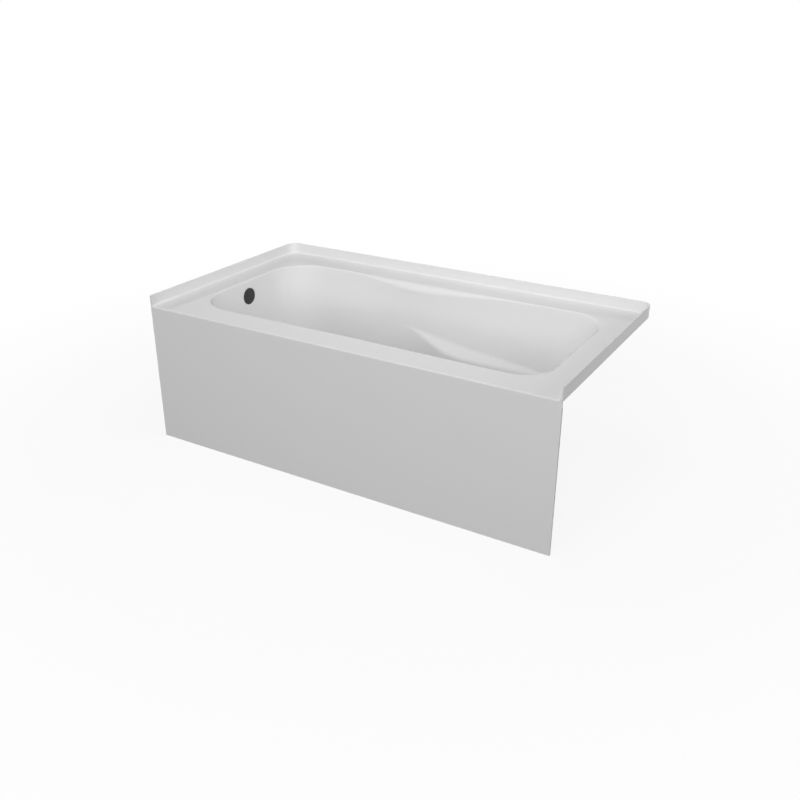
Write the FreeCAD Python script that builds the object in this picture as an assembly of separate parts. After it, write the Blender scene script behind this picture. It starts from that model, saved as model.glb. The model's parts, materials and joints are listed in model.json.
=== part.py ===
import FreeCAD, Part
import math
import os

# An acrylic alcove bathtub with a flat apron, a tile flange on three sides, a moulded basin with arm
# rests, and its waste and overflow. Millimetres, Z up. The origin is at the middle of the bottom of
# the box round the tub. The drain end is at -X, the foot end at +X, the apron at -Y, the wall at +Y.

Vector = FreeCAD.Vector
UP = Vector(0, 0, 1)
ALONG = Vector(1, 0, 0)

# ---------------------------------------------------------------- driving dimensions
# the shell
tub_length = 1524.0
tub_width = 825.0
deck_height = 504.0
flange_height = 40.0
flange_thickness = 4.0
sheet_thickness = 4.0
backing_thickness = 4.0
flange_corner_radius = 35.0
flange_cove_radius = 6.0
front_edge_radius = 5.0
front_lip_depth = 24.0

# the opening of the basin in the deck
drain_end_rim = 93.0
foot_end_rim = 89.0
front_rim = 100.0
back_rim = 112.0
drain_corner_radius = 150.0
foot_corner_radius = 120.0

# the floor of the basin
floor_height = 110.0
floor_width = 383.0
floor_drain_inset = 109.0
floor_foot_inset = 289.0
floor_corner_radius = 110.0

# the rolled edge, the shoulder and the arm rest on the walls
roll_radius = 6.0
roll_growth = 22.0
foot_roll_radius = 26.0
side_wall_lean = 30.0
drain_wall_lean = 10.0
foot_wall_lean = 147.0
drain_shoulder_height = 300.0
foot_shoulder_height = 250.0
armrest_width = 52.0
armrest_slope = 0.03
shoulder_step = 6.0
shoulder_softness = 22.0
armrest_root_softness = 8.0
armrest_crest_softness = 15.0
waist = 20.0
floor_bend_side = 60.0
floor_bend_armrest = 34.0
floor_bend_drain = 80.0
floor_bend_foot = 90.0

# where the shoulder runs along the side walls: share of the tub's length from the drain end, and height.
# It rises from the drain end, crests before mid-length and falls along the arm rest to the foot end. The
# arm rest and the wide part of the rolled edge each have a start, a middle and an end, in the same shares.
# The bends beside the arm rest are crisp between the two middle shares and soft again outside the others.
shoulder_line = ((0.0656, 300.0), (0.1969, 352.0), (0.3150, 368.0), (0.4199, 340.0), (0.5381, 306.0),
                 (0.6824, 284.0), (0.7743, 264.0), (0.8858, 240.0))
shoulder_smoothing = 0.0394
armrest_span = (0.3871, 0.6299, 0.8727)
crisp_span = (0.30, 0.43, 0.86, 0.96)
wide_roll_span = (0.2362, 0.4396, 0.6955)

# wood and board
board_thickness = 12.0
board_edge_margin = 14.0
board_drain_hole = 104.0
rail_width = 38.0
rail_length = 330.0
rail_shares = (0.1867, 0.5524, 0.9236)
rail_names = ("drain_cross_rail", "middle_cross_rail", "foot_cross_rail")
pad_diameter = 56.0
pad_height = 14.0
pad_inset = 42.0
screw_diameter = 5.0
screw_head_diameter = 10.0
screw_head_height = 3.0
screw_length = 45.0
rim_batten_height = 20.0
rim_batten_width = 38.0
end_batten_margin = 30.0
apron_batten_height = 38.0
apron_batten_depth = 20.0
apron_end_margin = 22.0
brace_width = 38.0
brace_depth = 18.0
brace_spacing = 380.0
brace_names = ("apron_brace_drain_end", "apron_brace_middle", "apron_brace_foot_end")
back_batten_margin = 45.0
backing_top_gap = 34.0
pad_taper = 4.0

# the waste and overflow
drain_distance = 262.0
drain_hole_diameter = 48.0
drain_flange_diameter = 72.0
drain_flange_height = 2.4
drain_flange_edge = 0.8
drain_thread_diameter = 44.0
drain_bore = 37.0
drain_gasket_thickness = 1.2
drain_gasket_diameter = 64.0
cross_bar_width = 4.0
cross_bar_height = 5.0
cross_bar_bite = 1.0
shoe_gasket_thickness = 3.0
shoe_flange_diameter = 72.0
shoe_flange_height = 5.0
pipe_diameter = 38.1
pipe_wall = 1.5
fitting_wall = 3.8
pipe_play = 0.15
thread_play = 0.2
pipe_axis_height = 70.0
overflow_pipe_distance = 48.0
overflow_depth = 61.0
overflow_hole_diameter = 50.0
overflow_cover_diameter = 63.0
overflow_cover_depth = 4.0
overflow_cover_face = 2.0
overflow_slot_width = 26.0
retainer_flange_diameter = 57.0
retainer_flange_height = 1.4
retainer_thread_diameter = 46.0
retainer_bore = 39.0
overflow_gasket_thickness = 5.0
overflow_gasket_diameter = 74.0
overflow_gasket_reach = 2.0
head_flange_diameter = 78.0
head_flange_height = 4.0
head_diameter = 58.0
tee_reach = 44.0
socket_depth = 22.0
retainer_grip = 12.0
overflow_edge_radius = 1.2
nut_sides = 8
nut_width = 56.0
nut_length = 20.0
nut_lip = 2.6
washer_thickness = 1.6
outlet_floor_gap = 3.0
outlet_hub_bore = 48.4
outlet_hub_depth = 17.0
outlet_hub_stop = 1.6

# the toe-touch stopper
stopper_diameter = 62.0
stopper_edge = 3.0
stopper_chamfer = 1.0
stopper_crown = 3.0
stopper_lift = 9.0
seal_thickness = 2.0
seal_diameter = 56.0
stem_diameter = 8.0
stem_length = 24.0
post_diameter = 15.0
post_step = 1.4
post_floor = 2.0
post_drop = 8.0
spring_length = 24.0
bar_depth = 12.0
spring_wire = 1.0
spring_coils = 5

# clearances
slide_clearance = 0.15
stem_clearance = 0.1
seat_clearance = 0.3

# how far a tool passes what it cuts, and how closely edges are matched and sewn
tool_reach = 1.0
edge_match = 0.1
sewing_match = 0.001

# ---------------------------------------------------------------- places worked out from them
LEFT = -tub_length / 2.0
RIGHT = tub_length / 2.0
FRONT = -tub_width / 2.0
BACK = tub_width / 2.0
FLANGE_TOP = deck_height + flange_height
DECK_UNDER = deck_height - sheet_thickness
WALL_THICKNESS = sheet_thickness + backing_thickness
BASIN_AXIS_Y = (front_rim - back_rim) / 2.0
OPENING_HALF_WIDTH = (tub_width - front_rim - back_rim) / 2.0
FLOOR_UNDER = floor_height - WALL_THICKNESS
BOARD_UNDER = FLOOR_UNDER - board_thickness
DRAIN_X = LEFT + drain_distance
PIPE_X = LEFT + overflow_pipe_distance
OVERFLOW_Z = deck_height - overflow_depth
LIP_UNDER = deck_height - front_lip_depth
SHEET_BACK = FRONT + sheet_thickness
APRON_BACK = FRONT + WALL_THICKNESS
PIPE_BORE = pipe_diameter - 2.0 * pipe_wall
SOCKET_BORE = pipe_diameter + 2.0 * pipe_play
SOCKET_OUTER = SOCKET_BORE + 2.0 * fitting_wall
HEAD_SOCKET_BOTTOM = OVERFLOW_Z - head_diameter / 2.0 - socket_depth
SHOE_OUTER = drain_thread_diameter + 2.0 * thread_play + 2.0 * fitting_wall
SHOE_TOP = FLOOR_UNDER - shoe_gasket_thickness
SHOE_SOCKET_X = DRAIN_X - SHOE_OUTER / 2.0 - socket_depth
FLANGE_SEAT = floor_height + drain_gasket_thickness
RIM_TOP = FLANGE_SEAT + drain_flange_height
CAP_UNDER = RIM_TOP + seal_thickness + stopper_lift + seat_clearance
STEM_BOTTOM = CAP_UNDER - stem_length
BOARD_LEFT = LEFT + drain_end_rim + floor_drain_inset + board_edge_margin
BOARD_RIGHT = RIGHT - foot_end_rim - floor_foot_inset - board_edge_margin
RAIL_PLACES = [BOARD_LEFT + (BOARD_RIGHT - BOARD_LEFT) * share for share in rail_shares]
BAR_BOTTOM = SHOE_TOP - bar_depth
POST_TOP = CAP_UNDER - stopper_lift - post_drop
SPRING_SEAT = STEM_BOTTOM - spring_length
POST_BOTTOM = SPRING_SEAT - post_floor
POST_THREAD = post_diameter - 2.0 * post_step


# ---------------------------------------------------------------- small shapes
def block(x0, x1, y0, y1, z0, z1):
    """A box between two corners."""
    return Part.makeBox(x1 - x0, y1 - y0, z1 - z0, Vector(x0, y0, z0))


def rod(diameter, start, length, axis=UP):
    """A cylinder from a start point along an axis."""
    return Part.makeCylinder(diameter / 2.0, length, start, axis)


def ring(outer, inner, start, length, axis=UP):
    """A tube from a start point along an axis."""
    return rod(outer, start, length, axis).cut(rod(inner, start, length, axis))


def turned(points, centre):
    """A solid of revolution about the vertical through centre, from (radius, height) points."""
    corners = [Vector(radius, 0, height) for radius, height in points]
    face = Part.Face(Part.makePolygon(corners + corners[:1]))
    solid = face.revolve(Vector(0, 0, 0), UP, 360)
    return solid.translated(centre)


def group(shapes):
    """Separate solids that share a node."""
    return Part.makeCompound(shapes)


def joined(first, *others):
    """One solid from pieces that overlap, with its seams removed."""
    return first.fuse(list(others)).removeSplitter()


# ---------------------------------------------------------------- form of the basin
def ease(t):
    """0 to 1 with a level start and end."""
    t = min(max(t, 0.0), 1.0)
    return t * t * (3.0 - 2.0 * t)


def hump(x, span):
    """0 at the span's start and end, 1 at its middle point, with level ends and top."""
    start, peak, end = span
    return ease((x - start) / (peak - start)) if x < peak else ease((end - x) / (end - peak))


def height_along(points, x):
    """The height at x on straight lines from one chosen point to the next, level past the ends."""
    if x <= points[0][0]:
        return points[0][1]
    for (x0, z0), (x1, z1) in zip(points, points[1:]):
        if x <= x1:
            return z0 + (z1 - z0) * (x - x0) / (x1 - x0)
    return points[-1][1]


SMOOTHING_STEPS = 4


def shoulder_height(x):
    """The shoulder's height at a share of the tub's length, averaged over a short stretch."""
    steps = range(-SMOOTHING_STEPS, SMOOTHING_STEPS + 1)
    heights = [height_along(shoulder_line, x + shoulder_smoothing * k / SMOOTHING_STEPS) for k in steps]
    return sum(heights) / len(heights)


def outline(drain_end_x, foot_end_x, half_width, drain_radius, foot_radius):
    """A rounded rectangle about the basin's centreline."""
    return {"x0": drain_end_x, "x1": foot_end_x, "half": half_width, "r0": drain_radius, "r1": foot_radius}


opening = outline(LEFT + drain_end_rim, RIGHT - foot_end_rim, OPENING_HALF_WIDTH,
                  drain_corner_radius, foot_corner_radius)
basin_floor = outline(opening["x0"] + floor_drain_inset, opening["x1"] - floor_foot_inset,
                      floor_width / 2.0, floor_corner_radius, floor_corner_radius)

# Stations run round half the basin, from the middle of the drain end to the middle of the foot end.
STRETCHES = (("drain_end", 5), ("drain_corner", 9), ("side", 34), ("foot_corner", 9), ("foot_end", 5))
STATIONS = [(stretch, k / count) for stretch, count in STRETCHES for k in range(count)]
STATIONS.append(("foot_end", 1.0))

# The rolled edge leaves the deck at a slight angle, in degrees, and its surface carries on to just above
# the deck. A bend takes at most a set share of the straight beside it.
ROLL_START = 15.0
EDGE_RISE = 1.2
ROLL_STEPS = 6
ROLL_ROWS = ROLL_STEPS + 2
ROOT_STEPS = 4
CREST_STEPS = 5
FLOOR_BEND_STEPS = 8
UPPER_WALL_SHARES = (0.02, 0.07, 0.18, 0.4, 0.7, 1.0)
LOWER_WALL_SHARES = (0.35, 0.7, 1.0)
BEND_SHARE = 0.45
# How far from the deck's edge to the floor's the wall's settings are read off.
SETTINGS_SHARE = 0.3


def on_outline(form, station):
    """The (x, y) of a station on an outline, with y measured from the centreline."""
    stretch, t = station
    turn = t * math.pi / 2.0
    if stretch == "drain_end":
        return form["x0"], t * (form["half"] - form["r0"])
    if stretch == "drain_corner":
        return (form["x0"] + form["r0"] * (1.0 - math.cos(turn)),
                form["half"] - form["r0"] * (1.0 - math.sin(turn)))
    if stretch == "side":
        start = form["x0"] + form["r0"]
        return start + t * (form["x1"] - form["r1"] - start), form["half"]
    if stretch == "foot_corner":
        return (form["x1"] - form["r1"] * (1.0 - math.sin(turn)),
                form["half"] - form["r1"] * (1.0 - math.cos(turn)))
    return form["x1"], (1.0 - t) * (form["half"] - form["r1"])


def crispness(place):
    """0 where the shoulder's bends are soft and 1 beside the arm rest."""
    start, full, fade, end = crisp_span
    return ease((place - start) / (full - start)) * ease((end - place) / (end - fade))


def wall_settings(station, x):
    """The roll, lean, shoulder, arm rest and bends of the wall at a station, blended round the corners."""
    place = (x - LEFT) / tub_length
    rest = hump(place, armrest_span)
    wide = hump(place, wide_roll_span)
    crisp = crispness(place)
    side = (roll_radius + roll_growth * wide, side_wall_lean, shoulder_height(place),
            armrest_width * rest, floor_bend_side + (floor_bend_armrest - floor_bend_side) * rest,
            shoulder_softness + (armrest_root_softness - shoulder_softness) * crisp,
            shoulder_softness + (armrest_crest_softness - shoulder_softness) * crisp)
    drain = (roll_radius, drain_wall_lean, drain_shoulder_height, 0.0, floor_bend_drain,
             shoulder_softness, shoulder_softness)
    foot = (foot_roll_radius, foot_wall_lean, foot_shoulder_height, 0.0, floor_bend_foot,
            shoulder_softness, shoulder_softness)
    stretch, t = station
    if stretch == "drain_end":
        return drain
    if stretch == "foot_end":
        return foot
    if stretch == "side":
        return side
    end, weight = (drain, ease(t)) if stretch == "drain_corner" else (foot, ease(1.0 - t))
    return tuple(e + (s - e) * weight for e, s in zip(end, side))


def wall_reach(station):
    """How far in the floor's edge lies from the deck's, measured square to the wall."""
    side = opening["half"] - basin_floor["half"]
    stretch, t = station
    if stretch == "side":
        return side
    if stretch.startswith("drain"):
        return floor_drain_inset + (side - floor_drain_inset) * (ease(t) if "corner" in stretch else 0.0)
    return floor_foot_inset + (side - floor_foot_inset) * (ease(1.0 - t) if "corner" in stretch else 0.0)


def towards(a, b, distance):
    """The point at a distance from a towards b, in the (inset, height) plane."""
    share = distance / math.hypot(b[0] - a[0], b[1] - a[1])
    return a[0] + (b[0] - a[0]) * share, a[1] + (b[1] - a[1]) * share


def between(a, b, shares):
    """Points on a straight line."""
    return [(a[0] + (b[0] - a[0]) * s, a[1] + (b[1] - a[1]) * s) for s in shares]


def bend(a, corner, b, steps):
    """Points on the curve that rounds a corner, with a and b as its ends."""
    points = []
    for k in range(1, steps + 1):
        t = k / steps
        start, middle, end = (1.0 - t) ** 2, 2.0 * t * (1.0 - t), t * t
        points.append(tuple(start * a[i] + middle * corner[i] + end * b[i] for i in (0, 1)))
    return points


def wall_profile(settings, reach):
    """The wall from the deck to the floor as (inset, height) points; reach is the inset of the floor."""
    roll, lean, shoulder, rest, floor_bend, root_softness, crest_softness = settings
    slope = math.atan2(lean - roll, deck_height - roll - shoulder)
    first, last = math.radians(ROLL_START), math.pi / 2.0 - slope
    turns = [first + (last - first) * k / ROLL_STEPS for k in range(ROLL_STEPS + 1)]
    arc = [(roll * math.sin(turn), deck_height - roll * (1.0 - math.cos(turn))) for turn in turns]
    climb = deck_height + EDGE_RISE - arc[0][1]
    brink = (arc[0][0] - climb / math.tan(first), deck_height + EDGE_RISE)
    points = [brink] + between(brink, arc[0], (0.5,)) + arc
    root = (lean, shoulder)
    crest = (lean + rest, shoulder - shoulder_step - armrest_slope * rest)
    toe = (reach - floor_bend, floor_height)
    edge = (reach, floor_height)
    step = math.hypot(crest[0] - root[0], crest[1] - root[1])
    above = towards(root, points[-1], root_softness)
    past_root = towards(root, crest, min(root_softness, BEND_SHARE * step))
    before_crest = towards(crest, root, min(crest_softness, BEND_SHARE * step))
    below = towards(crest, toe, crest_softness)
    points += between(points[-1], above, UPPER_WALL_SHARES)
    points += bend(above, root, past_root, ROOT_STEPS)
    points += bend(before_crest, crest, below, CREST_STEPS)
    heel = towards(toe, crest, floor_bend)
    points += between(below, heel, LOWER_WALL_SHARES)
    points += bend(heel, toe, edge, FLOOR_BEND_STEPS)
    return points


def basin_grid():
    """Points on half of the basin's inner surface: a column of wall points for each station."""
    columns = []
    for station in STATIONS:
        ox, oy = on_outline(opening, station)
        fx, fy = on_outline(basin_floor, station)
        shoulder_x = ox + SETTINGS_SHARE * (fx - ox)
        settings = wall_settings(station, shoulder_x)
        if station[0] == "side":
            fy -= waist * hump((shoulder_x - LEFT) / tub_length, armrest_span)
        reach = wall_reach(station)
        shares = [(inset / reach, height) for inset, height in wall_profile(settings, reach)]
        columns.append([Vector(ox + (fx - ox) * share, BASIN_AXIS_Y + oy + (fy - oy) * share, height)
                        for share, height in shares])
    return columns


def offset_grid(columns, distance):
    """The grid moved by a distance square to its surface, away from the bath water."""
    moved = []
    last_column, last_row = len(columns) - 1, len(columns[0]) - 1
    for i, column in enumerate(columns):
        ahead, behind = columns[min(i + 1, last_column)], columns[max(i - 1, 0)]
        new_column = []
        for j, point in enumerate(column):
            along = ahead[j] - behind[j]
            down = column[min(j + 1, last_row)] - column[max(j - 1, 0)]
            normal = down.cross(along)
            if i in (0, last_column):
                normal.y = 0.0
            if j == last_row:
                normal = Vector(0, 0, 1)
            normal.normalize()
            new_column.append(point - normal * distance)
        new_column[0].z = deck_height + EDGE_RISE - distance
        moved.append(new_column)
    return moved


def travelled(points):
    """The distance from the first point to each point, as shares of the whole length."""
    lengths = [0.0]
    for a, b in zip(points, points[1:]):
        lengths.append(lengths[-1] + a.distanceToPoint(b))
    return [length / lengths[-1] for length in lengths]


def averaged(rows):
    """The mean of several lists of shares, place by place."""
    return [sum(values) / len(rows) for values in zip(*rows)]


def poles_through(points, shares):
    """A smooth curve that passes each point at its share of the way."""
    curve = Part.BSplineCurve()
    curve.interpolate(Points=points, Parameters=shares)
    return curve


def surface_through(columns):
    """A smooth surface through a grid: curves along the wall first, then curves round the basin."""
    down_shares = averaged([travelled(column) for column in columns])
    along_shares = averaged([travelled(list(row)) for row in zip(*columns)])
    walls = [poles_through(column, down_shares) for column in columns]
    rounds = [poles_through([wall.getPole(k + 1) for wall in walls], along_shares)
              for k in range(walls[0].NbPoles)]
    surface = Part.BSplineSurface()
    poles = [[curve.getPole(i + 1) for curve in rounds] for i in range(rounds[0].NbPoles)]
    surface.buildFromPolesMultsKnots(poles, rounds[0].getMultiplicities(), walls[0].getMultiplicities(),
                                     rounds[0].getKnots(), walls[0].getKnots(), False, False, 3, 3)
    return surface


def bowl(distance, rolled=True):
    """The basin's space, grown by a distance, as a solid from the deck down to its floor.

    A rolled bowl follows the rolled edge. One that isn't starts below the roll and runs straight up.
    """
    grid = offset_grid(basin_grid(), distance)
    if not rolled:
        grid = [column[ROLL_ROWS:] for column in grid]
        for column in grid:
            wall = column[1] - column[0]
            column.insert(0, column[0] + wall * ((DECK_UNDER - column[0].z) / wall.z))
    surface = surface_through(grid)
    top, bottom = surface.bounds()[2:]
    half = surface.toShape()
    other = half.mirror(Vector(0, BASIN_AXIS_Y, 0), Vector(0, 1, 0))
    faces = [half, other]
    for row in (top, bottom):
        rim = surface.vIso(row).toShape()
        mirrored = rim.mirror(Vector(0, BASIN_AXIS_Y, 0), Vector(0, 1, 0))
        faces.append(Part.Face(Part.Wire([rim, mirrored])))
    skin = Part.makeCompound(faces)
    skin.sewShape(sewing_match)
    solid = Part.Solid(skin.Shells[0])
    if solid.Volume < 0:
        solid.reverse()
    return solid


def drain_wall_x(height):
    """Where the middle of the drain-end wall stands at a height."""
    wall = basin_grid()[0]
    for upper, lower in zip(wall, wall[1:]):
        if lower.z <= height <= upper.z:
            return lower.x + (upper.x - lower.x) * (height - lower.z) / (upper.z - lower.z)


# ---------------------------------------------------------------- the shell and the apron
def rim_tray():
    """The deck with the tile flange on three sides, and the lip behind the apron's top edge."""
    body = block(LEFT, RIGHT, FRONT, BACK, DECK_UNDER, FLANGE_TOP)
    corners = [edge for edge in body.Edges
               if edge.BoundBox.ZLength > flange_height and edge.BoundBox.YMin > BACK - edge_match]
    body = body.makeFillet(flange_corner_radius, corners)
    pocket = block(LEFT + flange_thickness, RIGHT - flange_thickness, FRONT - tub_width,
                   BACK - flange_thickness, deck_height, FLANGE_TOP + flange_height)
    uprights = [edge for edge in pocket.Edges
                if edge.BoundBox.ZLength > flange_height and edge.BoundBox.YMin > 0.0]
    pocket = pocket.makeFillet(flange_corner_radius - flange_thickness, uprights)
    foot = [edge for edge in pocket.Edges
            if edge.BoundBox.ZMax < deck_height + edge_match and edge.BoundBox.YMax > FRONT]
    pocket = pocket.makeFillet(flange_cove_radius, foot)
    lip = block(LEFT, RIGHT, FRONT, SHEET_BACK, LIP_UNDER, DECK_UNDER)
    tray = body.cut(pocket).fuse(lip).removeSplitter()
    flange_reach = flange_thickness + flange_cove_radius
    axis_y, axis_z = FRONT + front_edge_radius, deck_height - front_edge_radius
    edge_tool = block(LEFT + flange_reach, RIGHT - flange_reach, FRONT, axis_y, axis_z, deck_height)
    edge_tool = edge_tool.cut(rod(2.0 * front_edge_radius, Vector(LEFT, axis_y, axis_z), tub_length, ALONG))
    return tray.cut(edge_tool)


def acrylic_shell():
    """Deck, flange and basin: one moulded sheet with its drain and overflow holes."""
    shell = rim_tray().fuse(bowl(sheet_thickness)).cut(bowl(0.0))
    return pierced(shell).removeSplitter().Solids[0]


def pierced(shape):
    """The drain hole and the overflow hole through the basin's wall."""
    drain = rod(drain_hole_diameter, Vector(DRAIN_X, BASIN_AXIS_Y, BOARD_UNDER),
                floor_height - BOARD_UNDER + board_thickness)
    reach = WALL_THICKNESS + retainer_bore
    start = Vector(drain_wall_x(OVERFLOW_Z) - reach / 2.0, BASIN_AXIS_Y, OVERFLOW_Z)
    overflow = rod(overflow_hole_diameter, start, reach, ALONG)
    return shape.cut(drain).cut(overflow)


def basin_backing():
    """The glass-fibre layer bonded to the outside of the basin, up to below the deck."""
    top = deck_height - backing_top_gap
    below = block(LEFT, RIGHT, FRONT, BACK, 0.0, top)
    return pierced(bowl(WALL_THICKNESS, rolled=False).common(below).cut(bowl(sheet_thickness)))


def apron_panel():
    """The flat front skirt, flush under the lip of the deck."""
    return block(LEFT, RIGHT, FRONT, SHEET_BACK, 0.0, LIP_UNDER)


def apron_backing():
    """The glass-fibre layer behind the apron."""
    return block(LEFT, RIGHT, SHEET_BACK, APRON_BACK, 0.0, LIP_UNDER)


# ---------------------------------------------------------------- wood and board
def base_board():
    """The board under the basin's floor, with a hole for the drain."""
    half = floor_width / 2.0 - waist - board_edge_margin
    board = block(BOARD_LEFT, BOARD_RIGHT, BASIN_AXIS_Y - half, BASIN_AXIS_Y + half, BOARD_UNDER,
                  FLOOR_UNDER)
    corners = [edge for edge in board.Edges if edge.BoundBox.ZLength > board_thickness / 2.0]
    board = board.makeFillet(floor_corner_radius - board_edge_margin, corners)
    return board.cut(rod(board_drain_hole, Vector(DRAIN_X, BASIN_AXIS_Y, BOARD_UNDER), board_thickness))


def pad_places():
    """The middle of each foot pad, two under each rail."""
    reach = rail_length / 2.0 - pad_inset
    return [Vector(x, BASIN_AXIS_Y + side * reach, 0.0) for x in RAIL_PLACES for side in (-1, 1)]


def pad_screw(place):
    """A screw up through a pad into the rail above it."""
    head = rod(screw_head_diameter, place + UP * screw_head_height, screw_head_height)
    return joined(head, rod(screw_diameter, place + UP * 2.0 * screw_head_height, screw_length))


def foot_pad(place):
    """A tapered pad with a recess for the screw's head."""
    pad = Part.makeCone(pad_diameter / 2.0, pad_diameter / 2.0 - pad_taper, pad_height, place)
    recess = rod(screw_head_diameter + 2.0 * seat_clearance, place, 2.0 * screw_head_height)
    return pad.cut(recess).cut(rod(screw_diameter + 2.0 * slide_clearance, place, pad_height))


def cross_rail(x):
    """A rail across the tub, on edge between its pads and the board."""
    rail = block(x - rail_width / 2.0, x + rail_width / 2.0, BASIN_AXIS_Y - rail_length / 2.0,
                 BASIN_AXIS_Y + rail_length / 2.0, pad_height, BOARD_UNDER)
    for place in pad_places():
        rail = rail.cut(rod(screw_diameter, place, screw_length + 2.0 * screw_head_height))
    return rail


def rim_battens():
    """The four strips of wood bonded under the deck."""
    bottom = DECK_UNDER - rim_batten_height
    front_inner = SHEET_BACK + rim_batten_width
    back_outer = BACK - back_batten_margin
    back_inner = back_outer - rim_batten_width
    x0, x1 = LEFT + end_batten_margin, RIGHT - end_batten_margin
    x2, x3 = x0 + rim_batten_width, x1 - rim_batten_width
    return {
        "front_rim_batten": block(x0, x1, SHEET_BACK, front_inner, bottom, DECK_UNDER),
        "back_rim_batten": block(x0, x1, back_inner, back_outer, bottom, DECK_UNDER),
        "drain_end_rim_batten": block(x0, x2, front_inner, back_inner, bottom, DECK_UNDER),
        "foot_end_rim_batten": block(x3, x1, front_inner, back_inner, bottom, DECK_UNDER),
    }


def apron_floor_batten():
    """The strip of wood along the foot of the apron."""
    return block(LEFT + apron_end_margin, RIGHT - apron_end_margin, APRON_BACK,
                 APRON_BACK + apron_batten_depth, 0.0, apron_batten_height)


def apron_brace(x):
    """An upright behind the apron, from its floor batten to the front rim batten."""
    return block(x - brace_width / 2.0, x + brace_width / 2.0, APRON_BACK, APRON_BACK + brace_depth,
                 apron_batten_height, LIP_UNDER)


# ---------------------------------------------------------------- overflow
def overflow_cover(shell):
    """The round cover over the overflow, open at its foot, with a ring that grips the retainer's bore."""
    x = drain_wall_x(OVERFLOW_Z)
    centre = Vector(x, BASIN_AXIS_Y, OVERFLOW_Z)
    behind = centre - ALONG * tool_reach
    face_x = x + overflow_cover_depth - overflow_cover_face
    cap = rod(overflow_cover_diameter, behind, overflow_cover_depth + tool_reach, ALONG)
    edges = [edge for edge in cap.Edges if edge.BoundBox.XMin > x + overflow_cover_depth - edge_match]
    cap = cap.makeFillet(overflow_edge_radius, edges)
    hollow = rod(overflow_cover_diameter - 2.0 * overflow_cover_face, behind, face_x - behind.x, ALONG)
    slot = block(behind.x, face_x, BASIN_AXIS_Y - overflow_slot_width / 2.0,
                 BASIN_AXIS_Y + overflow_slot_width / 2.0, OVERFLOW_Z - overflow_cover_diameter,
                 OVERFLOW_Z - retainer_flange_diameter / 2.0)
    grip_outer = retainer_bore - 2.0 * slide_clearance
    grip_inner = grip_outer - 2.0 * overflow_cover_face
    grip_start = centre - ALONG * WALL_THICKNESS
    grip = ring(grip_outer, grip_inner, grip_start, face_x - grip_start.x, ALONG)
    return cap.cut(hollow).cut(slot).cut(shell).fuse(grip).removeSplitter()


def overflow_retainer(shell):
    """The flanged sleeve through the wall that draws the overflow head against its gasket."""
    x = drain_wall_x(OVERFLOW_Z)
    centre = Vector(x, BASIN_AXIS_Y, OVERFLOW_Z)
    behind = centre - ALONG * tool_reach
    flange = rod(retainer_flange_diameter, behind, retainer_flange_height + tool_reach, ALONG).cut(shell)
    length = WALL_THICKNESS + overflow_gasket_thickness + retainer_grip
    sleeve = rod(retainer_thread_diameter, centre - ALONG * length, length + retainer_flange_height, ALONG)
    bore = rod(retainer_bore, centre - ALONG * length, length + overflow_cover_depth, ALONG)
    return joined(flange, sleeve).cut(bore)


def overflow_gasket(backing):
    """The rubber ring between the basin's back and the overflow head."""
    outside = drain_wall_x(OVERFLOW_Z) - WALL_THICKNESS
    start = Vector(outside - overflow_gasket_thickness, BASIN_AXIS_Y, OVERFLOW_Z)
    return ring(overflow_gasket_diameter, overflow_hole_diameter, start,
                overflow_gasket_thickness + overflow_gasket_reach, ALONG).cut(backing).Solids[0]


def overflow_head():
    """The hollow drum behind the wall, with a mouth for the retainer and a socket for the pipe below."""
    mouth_x = drain_wall_x(OVERFLOW_Z) - WALL_THICKNESS - overflow_gasket_thickness
    back_x = PIPE_X - SOCKET_OUTER / 2.0
    axis_point = Vector(back_x, BASIN_AXIS_Y, OVERFLOW_Z)
    pipe_point = Vector(PIPE_X, BASIN_AXIS_Y, HEAD_SOCKET_BOTTOM)
    length = mouth_x - back_x
    drum = rod(head_diameter, axis_point, length, ALONG)
    flange = rod(head_flange_diameter, Vector(mouth_x - head_flange_height, BASIN_AXIS_Y, OVERFLOW_Z),
                 head_flange_height, ALONG)
    socket = rod(SOCKET_OUTER, pipe_point, OVERFLOW_Z - HEAD_SOCKET_BOTTOM)
    body = joined(drum, flange, socket)
    hollow = rod(head_diameter - 2.0 * fitting_wall, axis_point + ALONG * fitting_wall,
                 length - fitting_wall - retainer_grip, ALONG)
    mouth = rod(retainer_thread_diameter + 2.0 * thread_play,
                Vector(mouth_x - retainer_grip, BASIN_AXIS_Y, OVERFLOW_Z), retainer_grip, ALONG)
    socket_bore = rod(SOCKET_BORE, pipe_point, socket_depth)
    passage = rod(PIPE_BORE, pipe_point, OVERFLOW_Z - HEAD_SOCKET_BOTTOM)
    return body.cut(hollow).cut(mouth).cut(socket_bore).cut(passage)


# ---------------------------------------------------------------- waste
def waste_tee():
    """The tee that joins the overflow pipe and the shoe's pipe, with a socket at each end."""
    centre = Vector(PIPE_X, BASIN_AXIS_Y, pipe_axis_height)
    run = rod(SOCKET_OUTER, centre - UP * tee_reach, 2.0 * tee_reach)
    body = joined(run, rod(SOCKET_OUTER, centre, tee_reach, ALONG))
    for axis, sign in ((UP, 1), (UP, -1), (ALONG, 1)):
        direction = axis * sign
        body = body.cut(rod(PIPE_BORE, centre, tee_reach, direction))
        body = body.cut(rod(SOCKET_BORE, centre + direction * (tee_reach - socket_depth), socket_depth,
                            direction))
    return body


def slip_joints():
    """Where a pipe enters the tee: the end of each socket and the way out of it."""
    centre = Vector(PIPE_X, BASIN_AXIS_Y, pipe_axis_height)
    return [(centre + direction * tee_reach, direction) for direction in (UP, UP * -1, ALONG)]


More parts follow.
